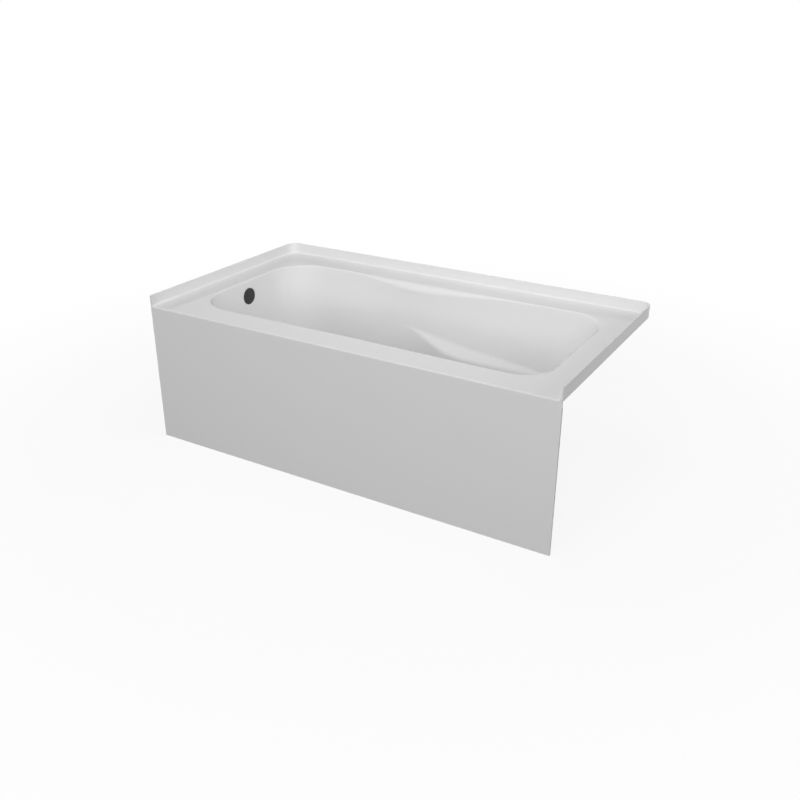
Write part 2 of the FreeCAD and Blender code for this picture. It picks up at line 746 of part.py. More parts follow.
def slip_nut(end, direction):
    """A nut over the end of a socket, with a lip round the pipe."""
    grip = nut_length - washer_thickness - nut_lip
    radius = nut_width / 2.0 / math.cos(math.pi / nut_sides)
    across = ALONG if abs(direction.z) > 0.5 else UP
    other = direction.cross(across)
    start = end - direction * grip
    turns = [2.0 * math.pi * k / nut_sides for k in range(nut_sides + 1)]
    corners = [start + (across * math.cos(turn) + other * math.sin(turn)) * radius for turn in turns]
    nut = Part.Face(Part.makePolygon(corners)).extrude(direction * nut_length)
    nut = nut.cut(rod(SOCKET_OUTER + 2.0 * thread_play, start, grip + washer_thickness, direction))
    return nut.cut(rod(SOCKET_BORE, start, nut_length, direction))


def slip_washer(end, direction):
    """The washer between the socket's end and the nut's lip."""
    return ring(SOCKET_OUTER, SOCKET_BORE, end, washer_thickness, direction)


def pipe(start, length, direction=UP):
    """A length of waste pipe."""
    return ring(pipe_diameter, PIPE_BORE, start, length, direction)


def overflow_tube():
    """The upright pipe from the tee to the overflow head."""
    bottom = pipe_axis_height + tee_reach - socket_depth
    top = HEAD_SOCKET_BOTTOM + socket_depth
    return pipe(Vector(PIPE_X, BASIN_AXIS_Y, bottom), top - bottom)


def shoe_tube():
    """The level pipe from the tee to the drain shoe."""
    start = PIPE_X + tee_reach - socket_depth
    end = SHOE_SOCKET_X + socket_depth
    return pipe(Vector(start, BASIN_AXIS_Y, pipe_axis_height), end - start, ALONG)


def outlet_tube():
    """The short pipe down from the tee, with a hub at its foot that the drain pipe enters from below."""
    foot = Vector(PIPE_X, BASIN_AXIS_Y, outlet_floor_gap)
    top = pipe_axis_height - tee_reach + socket_depth
    hub = rod(outlet_hub_bore + 2.0 * fitting_wall, foot, outlet_hub_depth + outlet_hub_stop)
    body = joined(rod(pipe_diameter, foot, top - outlet_floor_gap), hub)
    body = body.cut(rod(PIPE_BORE, foot, top - outlet_floor_gap))
    return body.cut(rod(outlet_hub_bore, foot, outlet_hub_depth))


def drain_shoe():
    """The flanged cup under the drain, with a socket for the pipe to the tee."""
    bottom = pipe_axis_height - SOCKET_OUTER / 2.0
    centre = Vector(DRAIN_X, BASIN_AXIS_Y, bottom)
    cup = rod(SHOE_OUTER, centre, SHOE_TOP - bottom)
    flange = rod(shoe_flange_diameter, Vector(DRAIN_X, BASIN_AXIS_Y, SHOE_TOP - shoe_flange_height),
                 shoe_flange_height)
    side_start = Vector(SHOE_SOCKET_X, BASIN_AXIS_Y, pipe_axis_height)
    side = rod(SOCKET_OUTER, side_start, DRAIN_X - SHOE_SOCKET_X, ALONG)
    body = joined(cup, flange, side)
    bore = rod(drain_thread_diameter + 2.0 * thread_play, centre + UP * fitting_wall, SHOE_TOP - bottom)
    body = body.cut(bore).cut(rod(SOCKET_BORE, side_start, socket_depth, ALONG))
    return body.cut(rod(PIPE_BORE, side_start, DRAIN_X - SHOE_SOCKET_X, ALONG))


def drain_flange():
    """The drain's visible rim, its threaded sleeve, and the cross bars that hold the stopper's post."""
    centre = Vector(DRAIN_X, BASIN_AXIS_Y, 0)
    rim = turned([(drain_bore / 2.0, FLANGE_SEAT), (drain_flange_diameter / 2.0, FLANGE_SEAT),
                  (drain_flange_diameter / 2.0, FLANGE_SEAT + drain_flange_edge),
                  (drain_flange_diameter / 2.0 - drain_flange_height, RIM_TOP),
                  (drain_bore / 2.0 + drain_flange_height, RIM_TOP),
                  (drain_bore / 2.0, FLANGE_SEAT + drain_flange_edge)], centre)
    sleeve = ring(drain_thread_diameter, drain_bore, centre + UP * BAR_BOTTOM, FLANGE_SEAT - BAR_BOTTOM)
    span = drain_bore + 2.0 * cross_bar_bite
    bars = [block(DRAIN_X - x / 2.0, DRAIN_X + x / 2.0, BASIN_AXIS_Y - y / 2.0, BASIN_AXIS_Y + y / 2.0,
                  BAR_BOTTOM, BAR_BOTTOM + cross_bar_height)
            for x, y in ((span, cross_bar_width), (cross_bar_width, span))]
    boss = rod(post_diameter + 2.0 * cross_bar_width, centre + UP * BAR_BOTTOM, cross_bar_height)
    body = joined(rim, sleeve, boss, *bars)
    return body.cut(rod(POST_THREAD + 2.0 * slide_clearance, centre + UP * BAR_BOTTOM, cross_bar_height))


def flat_ring_at_drain(outer, inner, bottom, height):
    """A gasket round the drain."""
    return ring(outer, inner, Vector(DRAIN_X, BASIN_AXIS_Y, bottom), height)


# ---------------------------------------------------------------- stopper
CROWN_STEPS = 6


def stopper_post():
    """The post in the cross bars that guides the stem and holds the spring."""
    centre = Vector(DRAIN_X, BASIN_AXIS_Y, 0)
    body = rod(post_diameter, centre + UP * (BAR_BOTTOM + cross_bar_height), POST_TOP - BAR_BOTTOM
               - cross_bar_height)
    thread = rod(POST_THREAD, centre + UP * POST_BOTTOM, POST_TOP - POST_BOTTOM)
    bore = rod(stem_diameter + 2.0 * stem_clearance, centre + UP * SPRING_SEAT, POST_TOP - SPRING_SEAT)
    return joined(body, thread).cut(bore)


def stopper_cap():
    """The crowned cap, drawn raised, with a recess for the seal and a hole for the stem."""
    radius = stopper_diameter / 2.0
    centre = Vector(DRAIN_X, BASIN_AXIS_Y, 0)
    rise = CAP_UNDER + stopper_edge
    shares = [1.0 - k / CROWN_STEPS for k in range(CROWN_STEPS + 1)]
    under = [(0.0, CAP_UNDER), (radius - stopper_chamfer, CAP_UNDER), (radius, CAP_UNDER + stopper_chamfer)]
    crown = [(radius * share, rise + stopper_crown * (1.0 - share ** 2)) for share in shares]
    cap = turned(under + crown, centre)
    return cap.cut(rod(stem_diameter + 2.0 * slide_clearance, centre + UP * CAP_UNDER, stopper_edge))


def stopper_stem():
    """The stem under the cap, sliding in the post."""
    centre = Vector(DRAIN_X, BASIN_AXIS_Y, STEM_BOTTOM)
    return rod(stem_diameter, centre, CAP_UNDER + stopper_edge - STEM_BOTTOM)


def stopper_seal():
    """The rubber disc under the cap that closes on the drain's rim."""
    bore = stem_diameter + 2.0 * slide_clearance
    return flat_ring_at_drain(seal_diameter, bore, CAP_UNDER - seal_thickness, seal_thickness)


def stopper_spring():
    """The spring between the post's floor and the stem, as quarter turns of a rising wire."""
    bottom = SPRING_SEAT + spring_wire / 2.0 + slide_clearance
    top = STEM_BOTTOM - spring_wire / 2.0 - slide_clearance
    radius = stem_diameter / 2.0 - spring_wire / 2.0 - slide_clearance
    quarters = 4 * spring_coils

    def at(quarter):
        angle = math.pi / 2.0 * quarter
        return Vector(DRAIN_X + radius * math.cos(angle), BASIN_AXIS_Y + radius * math.sin(angle),
                      bottom + (top - bottom) * quarter / quarters)

    arcs = [Part.Arc(at(k), at(k + 0.5), at(k + 1)).toShape() for k in range(quarters)]
    start = arcs[0].tangentAt(arcs[0].FirstParameter)
    section = Part.Wire(Part.makeCircle(spring_wire / 2.0, at(0), start))
    return Part.Wire(arcs).makePipeShell([section], True, False)


# ---------------------------------------------------------------- the nodes
def build_nodes():
    """Every node's shape, by name."""
    shell = acrylic_shell()
    backing = basin_backing()
    nodes = {
        "acrylic_shell": shell,
        "basin_backing": backing,
        "apron_panel": apron_panel(),
        "apron_backing": apron_backing(),
        "base_board": base_board(),
        "foot_pads": group([foot_pad(place) for place in pad_places()]),
        "pad_screws": group([pad_screw(place) for place in pad_places()]),
        "apron_floor_batten": apron_floor_batten(),
        "overflow_cover": overflow_cover(shell),
        "overflow_retainer": overflow_retainer(shell),
        "overflow_gasket": overflow_gasket(backing),
        "overflow_head": overflow_head(),
        "overflow_tube": overflow_tube(),
        "waste_tee": waste_tee(),
        "shoe_tube": shoe_tube(),
        "outlet_tube": outlet_tube(),
        "drain_shoe": drain_shoe(),
        "slip_nuts": group([slip_nut(end, direction) for end, direction in slip_joints()]),
        "slip_washers": group([slip_washer(end, direction) for end, direction in slip_joints()]),
        "drain_flange": drain_flange(),
        "drain_gasket": flat_ring_at_drain(drain_gasket_diameter, drain_hole_diameter, floor_height,
                                           drain_gasket_thickness),
        "shoe_gasket": flat_ring_at_drain(shoe_flange_diameter, drain_hole_diameter, SHOE_TOP,
                                          shoe_gasket_thickness),
        "stopper_post": stopper_post(),
        "stopper_cap": stopper_cap(),
        "stopper_stem": stopper_stem(),
        "stopper_seal": stopper_seal(),
        "stopper_spring": stopper_spring(),
    }
    nodes.update(rim_battens())
    for name, x in zip(rail_names, RAIL_PLACES):
        nodes[name] = cross_rail(x)
    for name, x in zip(brace_names, (-brace_spacing, 0.0, brace_spacing)):
        nodes[name] = apron_brace(x)
    return nodes


def main():
    os.makedirs("parts", exist_ok=True)
    for name, shape in build_nodes().items():
        shape.exportStep("parts/" + name + ".step")
        volume = round(shape.Volume / 1000.0, 2)
        print(name, "solids", len(shape.Solids), "valid", shape.isValid(), "cm3", volume)


main()
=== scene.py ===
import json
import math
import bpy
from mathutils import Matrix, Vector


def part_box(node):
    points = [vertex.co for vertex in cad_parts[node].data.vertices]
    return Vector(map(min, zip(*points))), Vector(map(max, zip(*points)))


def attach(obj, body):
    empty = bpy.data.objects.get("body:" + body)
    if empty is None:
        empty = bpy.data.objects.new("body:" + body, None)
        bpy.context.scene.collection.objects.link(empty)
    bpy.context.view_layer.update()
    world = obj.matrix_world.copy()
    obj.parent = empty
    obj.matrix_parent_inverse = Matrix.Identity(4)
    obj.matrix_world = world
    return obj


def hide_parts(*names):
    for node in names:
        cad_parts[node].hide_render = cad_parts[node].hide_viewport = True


bl_info = {
    "name": "Alcove bathtub",
    "version": (1, 0, 0),
    "blender": (4, 5, 0),
    "location": "3D View > Sidebar > Bathtub",
    "description": "Dresses the packed alcove bathtub: shell, fittings, finishes and a studio",
    "category": "Object",
}

import bmesh
import bpy
import numpy as np
from mathutils import Matrix, Vector

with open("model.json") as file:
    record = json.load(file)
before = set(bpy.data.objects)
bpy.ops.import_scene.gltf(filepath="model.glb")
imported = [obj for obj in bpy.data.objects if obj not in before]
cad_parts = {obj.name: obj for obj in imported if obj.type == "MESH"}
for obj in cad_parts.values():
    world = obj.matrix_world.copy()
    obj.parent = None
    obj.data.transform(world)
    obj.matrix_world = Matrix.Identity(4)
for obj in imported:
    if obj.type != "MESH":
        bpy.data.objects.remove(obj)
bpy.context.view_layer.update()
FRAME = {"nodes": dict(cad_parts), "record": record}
NODES = FRAME["nodes"]
MM = 0.001

# -------------------- form of the basin
# Distances are millimetres until a mesh is made. The tub's middle is the origin and Z is up.
LENGTH = 1524.0
WIDTH = 825.0
LEFT, RIGHT = -LENGTH / 2.0, LENGTH / 2.0
FRONT, BACK = -WIDTH / 2.0, WIDTH / 2.0
# The shoulder's height at shares of the tub's length from the drain end.
SHOULDER_PLACES = (0.0656, 0.1969, 0.3150, 0.4199, 0.5381, 0.6824, 0.7743, 0.8858)
SHOULDER_HEIGHTS = (300.0, 352.0, 368.0, 340.0, 306.0, 284.0, 264.0, 240.0)
SHOULDER_SMOOTHING = 0.0394
ARMREST_SPAN = (0.3871, 0.6299, 0.8727)
WIDE_ROLL_SPAN = (0.2362, 0.4396, 0.6955)
# The bends beside the arm rest are crisp between the two middle shares and soft outside the others.
CRISP_SPAN = (0.30, 0.43, 0.86, 0.96)
# Steps round half the basin: drain end, drain corner, side, foot corner, foot end.
STRETCH_STEPS = (10, 20, 90, 20, 10)
# Steps down the wall: rolled edge, upper wall, root of the shoulder, its crest, lower wall, floor bend.
WALL_STEPS = (12, 7, 10, 12, 6, 16)
# A band this wide on each side of a bend keeps the flat beside it flat in the shading.
GUARD = 1.5
# A bend uses at most this share of the step between the shoulder's two corners.
BEND_SHARE = 0.45
# Rows of the deck and of the basin's floor, as shares of the way out to the flange and in to the drain.
DECK_ROWS = (0.35, 0.7)
FLOOR_ROWS = (0.015, 0.3, 0.6, 0.85)
# The deck's border turns its corner after this share of the stations on a corner, sharp or round.
SHARP_BOUND, ROUND_BOUND = 0.5, 0.35
# Points nearer than this are joined.
WELD = 0.01
# A piece is shaded smooth across edges flatter than this.
SMOOTH_ANGLE = math.radians(32.0)
QUARTER = math.pi / 2.0
# The arm rest's place is read this share of the way from the opening's outline to the floor's.
SETTINGS_SHARE = 0.3

# -------------------- form of the fittings
# The overflow cover is a cup: its wall, its rounded edge, its slot's half width and its play at the wall.
COVER_WALL, COVER_EDGE, COVER_SLOT, COVER_PLAY = 2.0, 1.2, 13.0, 0.05
# A ring behind the cover grips the retainer: its two radii and how far it reaches into the wall.
GRIP_INNER, GRIP_OUTER, GRIP_REACH = 17.35, 19.35, 8.0
# The stopper cap's rounded lip, and the radius and depth of the hole for its stem.
CAP_LIP, STEM_HOLE, STEM_DEPTH = 1.0, 4.15, 3.0

# -------------------- finishes and studio, in metres
WHITE = (1.0, 1.0, 1.0, 1.0)
# The grain's size along and across the wood, and where the log's heart lies from a piece's middle.
GRAIN_SIZE = (0.25, 0.022, 0.022)
HEART = Vector((0.31, 0.013, 0.021))
# Late wood's colour as shares of early wood's red, green and blue.
LATE_WOOD = (0.62, 0.52, 0.42)
# The ways that glass strands lie, and how thin they are against their length.
STRAND_TURNS = ((0.3, 0.2, 0.4), (0.9, 1.1, 2.0), (2.2, 0.5, 1.2))
STRAND_SCALE = (18.0, 260.0, 260.0)
# The camera's place, its bearing, tilt and roll in degrees, and its lens in millimetres.
CAMERA_PLACE = (1.5098, -2.542, 1.5342)
CAMERA_TURNS = (-30.61, -24.915, 0.163)
CAMERA_LENS = 40.525
# Each soft light has its place, what it points at, its width and depth, and its watts.
MIDDLE = (0.0, 0.0, 0.4)
LAMPS = (
    ("Front key", (0.8, -5.0, 2.4), MIDDLE, 3.5, 2.4, 130.0),
    ("Right key", (4.0, -4.0, 2.6), MIDDLE, 3.0, 2.4, 23.0),
    ("Left fill", (-3.6, -3.6, 2.2), MIDDLE, 3.0, 2.4, 16.5),
    ("Right fill", (5.0, 0.5, 2.0), MIDDLE, 3.0, 2.4, 43.0),
    ("Overhead", (0.2, 0.1, 4.0), MIDDLE, 4.0, 3.0, 9.0),
    ("Basin light", (-0.1, 0.2, 2.4), (-0.1, 0.2, 0.4), 1.8, 0.9, 7.2),
    ("Drain end light", (0.45, 0.1, 1.75), (-0.76, 0.05, 0.5), 0.9, 0.7, 3.4),
)
WORLD_STRENGTH = 0.137
# Half the floor's side, and the two distances between which it fades to plain white.
FLOOR_REACH = 120.0
FLOOR_FADE = (0.8, 2.6)
# The floor's own white as a share of what is seen of it near the tub. The rest takes the shadow.
FLOOR_GLOW = 0.9
# What the floor is to the rays that carry light, and to those that see it.
FLOOR_DARK = (0.10, 0.10, 0.10, 1.0)
FLOOR_PALE = (0.9, 0.9, 0.9, 1.0)


def prop(name, text, default, **more):
    """A length property in metres whose default is given in millimetres."""
    return bpy.props.FloatProperty(name=name, description=text, default=default * MM, unit="LENGTH",
                                   subtype="DISTANCE", precision=4, **more)


def tint(name, text, default):
    """A colour property."""
    return bpy.props.FloatVectorProperty(name=name, description=text, default=default, size=3,
                                         min=0.0, max=1.0, subtype="COLOR")


class BATHTUB_PG_shell(bpy.types.PropertyGroup):
    """Sizes of the moulded shell."""

    deck_height: prop("Deck height", "Height of the flat deck above the floor", 504.0)
    flange_height: prop("Flange height", "How far the tile flange stands above the deck", 40.0)
    flange_thickness: prop("Flange thickness", "Thickness of the tile flange", 4.0)
    sheet: prop("Sheet thickness", "Thickness of the moulded acrylic", 4.0)
    flange_corner: prop("Flange corner", "Outer radius of the flange's two back corners", 35.0)
    cove: prop("Cove radius", "Radius where the deck turns up into the flange", 6.0)
    lip_round: prop("Flange lip radius", "Rounding along the top of the flange", 1.5)
    front_edge: prop("Front edge radius", "Radius where the deck turns down into the apron", 5.0)
    drain_rim: prop("Drain-end rim", "Width of the deck at the drain end", 93.0)
    foot_rim: prop("Foot-end rim", "Width of the deck at the foot end", 89.0)
    front_rim: prop("Front rim", "Width of the deck along the apron", 100.0)
    back_rim: prop("Back rim", "Width of the deck along the wall", 112.0)
    drain_corner: prop("Drain corner radius", "Radius of the opening's corners at the drain end", 150.0)
    foot_corner: prop("Foot corner radius", "Radius of the opening's corners at the foot end", 120.0)
    floor_height: prop("Basin floor height", "Height of the basin's floor above the room's floor", 110.0)
    floor_width: prop("Basin floor width", "Width of the basin's floor", 383.0)
    floor_drain_inset: prop("Drain-end floor inset", "From the opening's drain end in to the floor's", 109.0)
    floor_foot_inset: prop("Foot-end floor inset", "From the opening's foot end in to the floor's", 289.0)
    floor_corner: prop("Floor corner radius", "Radius of the corners of the basin's floor", 110.0)
    roll: prop("Edge roll", "Radius of the rolled edge of the opening", 6.0)
    roll_growth: prop("Edge roll growth", "How much wider the rolled edge grows along the sides", 22.0)
    foot_roll: prop("Foot edge roll", "Radius of the rolled edge at the foot end", 26.0)
    side_lean: prop("Side wall lean", "How far the side wall leans in from deck to shoulder", 30.0)
    drain_lean: prop("Drain wall lean", "How far the drain-end wall leans in from deck to shoulder", 10.0)
    foot_lean: prop("Foot wall lean", "How far the foot-end wall leans in from deck to shoulder", 147.0)
    drain_shoulder: prop("Drain shoulder height", "Height of the shoulder at the drain end", 300.0)
    foot_shoulder: prop("Foot shoulder height", "Height of the shoulder at the foot end", 250.0)
    armrest: prop("Arm rest width", "Width of the arm rest at its middle", 52.0)
    shoulder_step: prop("Shoulder step", "Height of the shoulder's edge", 6.0)
    softness: prop("Shoulder softness", "How far the shoulder's bends reach", 22.0)
    root_softness: prop("Arm rest root softness", "How far the bend above the arm rest reaches", 8.0)
    crest_softness: prop("Arm rest edge softness", "How far the bend at the arm rest's edge reaches", 15.0)
    side_bend: prop("Side floor bend", "How far the bend from the side wall to the floor reaches", 60.0)
    armrest_bend: prop("Arm rest floor bend", "How far the floor's bend reaches below the arm rest", 34.0)
    drain_bend: prop("Drain floor bend", "How far the floor's bend reaches at the drain end", 80.0)
    foot_bend: prop("Foot floor bend", "How far the floor's bend reaches at the foot end", 90.0)
    waist: prop("Waist", "How much the floor narrows beside the arm rests", 20.0)
    drain_distance: prop("Drain distance", "From the drain end of the tub to the drain's middle", 262.0)
    drain_hole: prop("Drain hole", "Diameter of the drain hole", 48.0)
    overflow_depth: prop("Overflow depth", "From the deck down to the overflow's middle", 61.0)
    overflow_hole: prop("Overflow hole", "Diameter of the overflow hole", 50.0)
    armrest_slope: bpy.props.FloatProperty(
        name="Arm rest slope", description="Fall of the arm rest per width", default=0.03, min=0.0, max=1.0)


class BATHTUB_PG_trim(bpy.types.PropertyGroup):
    """Sizes of the overflow cover and the stopper."""

    cover_diameter: prop("Cover diameter", "Diameter of the overflow cover", 63.0)
    cover_depth: prop("Cover depth", "How far the overflow cover stands off the wall", 4.0)
    cover_crown: prop("Cover crown", "How far the cover's face bulges", 0.8)
    cap_crown: prop("Stopper crown", "How far the stopper's top bulges", 3.0)


class BATHTUB_PG_finish(bpy.types.PropertyGroup):
    """Colours of the finishes."""

    acrylic: tint("Acrylic", "Colour of the moulded acrylic", (0.88, 0.88, 0.88))
    trim: tint("Trim", "Colour of the overflow cover, the drain's rim and the stopper", (0.022, 0.022, 0.023))
    resin: tint("Resin", "Colour of the glass-fibre layer", (0.56, 0.52, 0.40))
    timber: tint("Timber", "Light colour of the wood", (0.60, 0.42, 0.24))
    board: tint("Board", "Colour of the chipboard", (0.50, 0.36, 0.21))
    plastic: tint("Pipe plastic", "Colour of the waste pipes", (0.018, 0.018, 0.019))
    washer: tint("Washer plastic", "Colour of the slip washers", (0.78, 0.78, 0.76))
    rubber: tint("Rubber", "Colour of gaskets and seals", (0.03, 0.03, 0.03))
    brass: tint("Brass", "Colour of the stopper's post and stem", (0.72, 0.52, 0.23))
    steel: tint("Steel", "Colour of screws and spring", (0.62, 0.62, 0.60))


def shell_sizes():
    """The shell's sizes in millimetres, by name."""
    group = bpy.context.scene.bathtub_shell
    sizes = {}
    for key in BATHTUB_PG_shell.__annotations__:
        value = getattr(group, key)
        sizes[key] = value if key == "armrest_slope" else value / MM
    return sizes


def ease(t):
    """0 to 1 with a level start and end: t squared times (3 - 2t), held at its ends."""
    t = np.clip(t, 0.0, 1.0)
    return t * t * (3.0 - 2.0 * t)


def hump(x, span):
    """0 at the span's start and end and 1 at its middle point, eased on both sides."""
    start, peak, end = span
    return np.where(x < peak, ease((x - start) / (peak - start)), ease((end - x) / (end - peak)))


def crispness(place):
    """0 where the shoulder's bends are soft and 1 beside the arm rest, eased on both sides."""
    start, full, fade, end = CRISP_SPAN
    return ease((place - start) / (full - start)) * ease((end - place) / (end - fade))


def shoulder_height(place):
    """Straight lines between the shoulder's chosen heights, averaged over nine places close by."""
    shifts = np.linspace(-SHOULDER_SMOOTHING, SHOULDER_SMOOTHING, 9)
    return np.interp(place[:, None] + shifts, SHOULDER_PLACES, SHOULDER_HEIGHTS).mean(axis=1)


def stations():
    """The stretch and the share of it, from 0 to 1, of each station round half the basin."""
    kinds = np.concatenate([np.full(n, k) for k, n in enumerate(STRETCH_STEPS)] + [[4]])
    shares = np.concatenate([np.arange(n) / n for n in STRETCH_STEPS] + [[1.0]])
    return kinds, shares


def along_outline(form, kinds, t):
    """Points on half of a rounded rectangle (x0, x1, half width, two corner radii) about the X axis.

    The ends are straight lines, the corners quarter circles and the side a straight line.
    """
    x0, x1, half, r0, r1 = form
    turn = t * QUARTER
    near, far = x0 + r0, x1 - r1
    x = np.choose(kinds, [x0 + 0.0 * t, x0 + r0 * (1.0 - np.cos(turn)), near + t * (far - near),
                          x1 - r1 * (1.0 - np.sin(turn)), x1 + 0.0 * t])
    y = np.choose(kinds, [t * (half - r0), half - r0 * (1.0 - np.sin(turn)), half + 0.0 * t,
                          half - r1 * (1.0 - np.cos(turn)), (1.0 - t) * (half - r1)])
    return points_of(x, y)


def blended(kinds, t, drain, side, foot):
    """A value that is drain's at the drain end, side's on the side and foot's at the foot end."""
    near, far = ease(t), ease(1.0 - t)
    return np.choose(kinds, [drain + 0.0 * t, drain + (side - drain) * near, side + 0.0 * t,
                             foot + (side - foot) * far, foot + 0.0 * t])


def points_of(*parts):
    """Points from their coordinates, each a number or an array."""
    return np.stack(np.broadcast_arrays(*parts), axis=-1)


def line(a, b, shares):
    """Points on a straight line from a to b at the given shares, one row for each share."""
    return a[None] + (b - a)[None] * shares[:, None, None]


def bend(a, corner, b, steps):
    """Points on the parabola from a to b whose tangents meet at the corner, without its first."""
    t = (np.arange(steps) + 1.0)[:, None, None] / steps
    return (1.0 - t) ** 2 * a[None] + 2.0 * t * (1.0 - t) * corner[None] + t * t * b[None]


def towards(a, b, distance):
    """The point at a distance from a towards b."""
    reach = np.linalg.norm(b - a, axis=-1)
    return a + (b - a) * (np.broadcast_to(distance, reach.shape) / reach)[:, None]


def basin_middle(s):
    """The Y of the basin's axis, and half the opening's width."""
    return (s["front_rim"] - s["back_rim"]) / 2.0, (WIDTH - s["front_rim"] - s["back_rim"]) / 2.0


def half_wall(s):
    """The wall of half the basin: rows run down from the deck to the floor, columns round the basin.

    Each column is a profile of inset and height: a quarter roll, a leaning line, a bend out onto the arm
    rest, a bend down from it, a line and a wide bend into the floor. The inset runs from the opening's
    outline at the deck to the floor's outline at the floor.
    """
    kinds, t = stations()
    axis, half = basin_middle(s)
    opening = (LEFT + s["drain_rim"], RIGHT - s["foot_rim"], half, s["drain_corner"], s["foot_corner"])
    floor = (opening[0] + s["floor_drain_inset"], opening[1] - s["floor_foot_inset"], s["floor_width"] / 2.0,
             s["floor_corner"], s["floor_corner"])
    top, foot = along_outline(opening, kinds, t), along_outline(floor, kinds, t)
    place = (top[:, 0] + SETTINGS_SHARE * (foot[:, 0] - top[:, 0]) - LEFT) / LENGTH
    rest = s["armrest"] * hump(place, ARMREST_SPAN)
    side_reach = half - floor[2]
    foot[:, 1] -= blended(kinds, t, 0.0, s["waist"] * hump(place, ARMREST_SPAN), 0.0)
    reach = blended(kinds, t, s["floor_drain_inset"], side_reach, s["floor_foot_inset"])
    roll = blended(kinds, t, s["roll"], s["roll"] + s["roll_growth"] * hump(place, WIDE_ROLL_SPAN),
                   s["foot_roll"])
    lean = blended(kinds, t, s["drain_lean"], s["side_lean"], s["foot_lean"])
    shoulder = blended(kinds, t, s["drain_shoulder"], shoulder_height(place), s["foot_shoulder"])
    rest = blended(kinds, t, 0.0, rest, 0.0)
    side_bend = s["side_bend"] + (s["armrest_bend"] - s["side_bend"]) * hump(place, ARMREST_SPAN)
    floor_bend = blended(kinds, t, s["drain_bend"], side_bend, s["foot_bend"])
    crisp = crispness(place)
    soft = s["softness"]
    root_soft = blended(kinds, t, soft, soft + (s["root_softness"] - soft) * crisp, soft)
    crest_soft = blended(kinds, t, soft, soft + (s["crest_softness"] - soft) * crisp, soft)
    deck = s["deck_height"]

    slope = np.arctan2(lean - roll, deck - roll - shoulder)
    turns = np.linspace(0.0, 1.0, WALL_STEPS[0] + 1)[:, None] * (QUARTER - slope)
    rolled = points_of(roll * np.sin(turns), deck - roll * (1.0 - np.cos(turns)))
    root = points_of(lean, shoulder)
    crest = points_of(lean + rest, shoulder - s["shoulder_step"] - s["armrest_slope"] * rest)
    toe = points_of(reach - floor_bend, s["floor_height"])
    edge = points_of(reach, s["floor_height"])
    most = BEND_SHARE * np.linalg.norm(crest - root, axis=-1)
    past_root = towards(root, crest, np.minimum(root_soft, most))
    before_crest = towards(crest, root, np.minimum(crest_soft, most))
    above, below = towards(root, rolled[-1], root_soft), towards(crest, toe, crest_soft)
    heel = towards(toe, crest, floor_bend)
    rows = [rolled,
            line(rolled[-1], above, np.linspace(0.0, 1.0, WALL_STEPS[1] + 1)[1:] ** 1.5),
            bend(above, root, past_root, WALL_STEPS[2]),
            line(past_root, before_crest, np.array([0.5, 1.0])),
            bend(before_crest, crest, below, WALL_STEPS[3]),
            line(below, heel, np.linspace(0.0, 1.0, WALL_STEPS[4] + 1)[1:]),
            bend(heel, toe, edge, WALL_STEPS[5])]
    profile = np.concatenate(rows)
    share = (profile[..., 0] / reach)[..., None]
    flat = top[None] + (foot - top)[None] * share
    return points_of(flat[..., 0], flat[..., 1], profile[..., 1]), axis


def whole_loop(half, axis):
    """The half's columns and their mirror image, as one closed loop round the basin.

    The half lies beyond the axis. The loop runs from the drain end along the back to the foot end, and
    along the front to the drain end again.
    """
    back = half.copy()
    back[..., 1] = axis + half[..., 1]
    front = half[:, -2:0:-1].copy()
    front[..., 1] = axis - front[..., 1]
    return np.concatenate([back, front], axis=1)


def grid_normals(grid):
    """The unit normal of a grid whose columns close up, from the cross product of its two directions."""
    down = np.gradient(grid, axis=0)
    along = (np.roll(grid, -1, axis=1) - np.roll(grid, 1, axis=1)) / 2.0
    normal = np.cross(along, down)
    length = np.linalg.norm(normal, axis=-1, keepdims=True)
    return normal / np.maximum(length, 1e-9)


def placed(name, data):
    """A new object in the scene."""
    thing = bpy.data.objects.new(name, data)
    bpy.context.scene.collection.objects.link(thing)
    return thing


class Mesh:
    """Collects grids and polygons in millimetres, welds them and makes one object in metres."""

    def __init__(self):
        self.points, self.faces, self.count = [], [], 0

    def add(self, points):
        """Adds points and gives their numbers."""
        points = np.asarray(points, float)
        flat = points.reshape(-1, 3)
        numbers = np.arange(self.count, self.count + len(flat)).reshape(points.shape[:-1])
        self.points.append(flat)
        self.count += len(flat)
        return numbers

    def grid(self, points, closed=False):
        """Adds a grid as quads. A closed grid joins its last column to its first."""
        n = self.add(points)
        if closed:
            n = np.concatenate([n, n[:, :1]], axis=1)
        quads = np.stack([n[:-1, :-1], n[:-1, 1:], n[1:, 1:], n[1:, :-1]], axis=-1).reshape(-1, 4)
        self.faces.extend(quads.tolist())

    def polygon(self, points):
        """Adds one flat polygon."""
        self.faces.append(self.add(points).tolist())

    def build(self, name):
        """One object with welded seams, outward faces and smooth shading."""
        data = bpy.data.meshes.new(name)
        data.from_pydata((np.concatenate(self.points) * MM).tolist(), [], self.faces)
        shape = bmesh.new()
        shape.from_mesh(data)
        bmesh.ops.remove_doubles(shape, verts=shape.verts, dist=WELD * MM)
        bmesh.ops.dissolve_degenerate(shape, edges=shape.edges, dist=WELD * MM)
        bmesh.ops.recalc_face_normals(shape, faces=shape.faces)
        loose = sum(1 for edge in shape.edges if len(edge.link_faces) != 2)
        shape.to_mesh(data)
        shape.free()
        if loose:
            raise RuntimeError(f"{name} has {loose} open edges")
        smooth(data)
        return placed(name, data)


def smooth(data):
    """Smooth shading that stops at sharp edges."""
    data.polygons.foreach_set("use_smooth", [True] * len(data.polygons))
    data.set_sharp_from_angle(angle=SMOOTH_ANGLE)
    data.update()


def finished(piece, material, slot, body, *nodes):
    """Gives a piece its material, sets it on its body and has it stand for CAD nodes. The slot is not used.
    """
    piece.data.materials.clear()
    piece.data.materials.append(bpy.data.materials[material])
    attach(piece, body)
    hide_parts(*nodes)


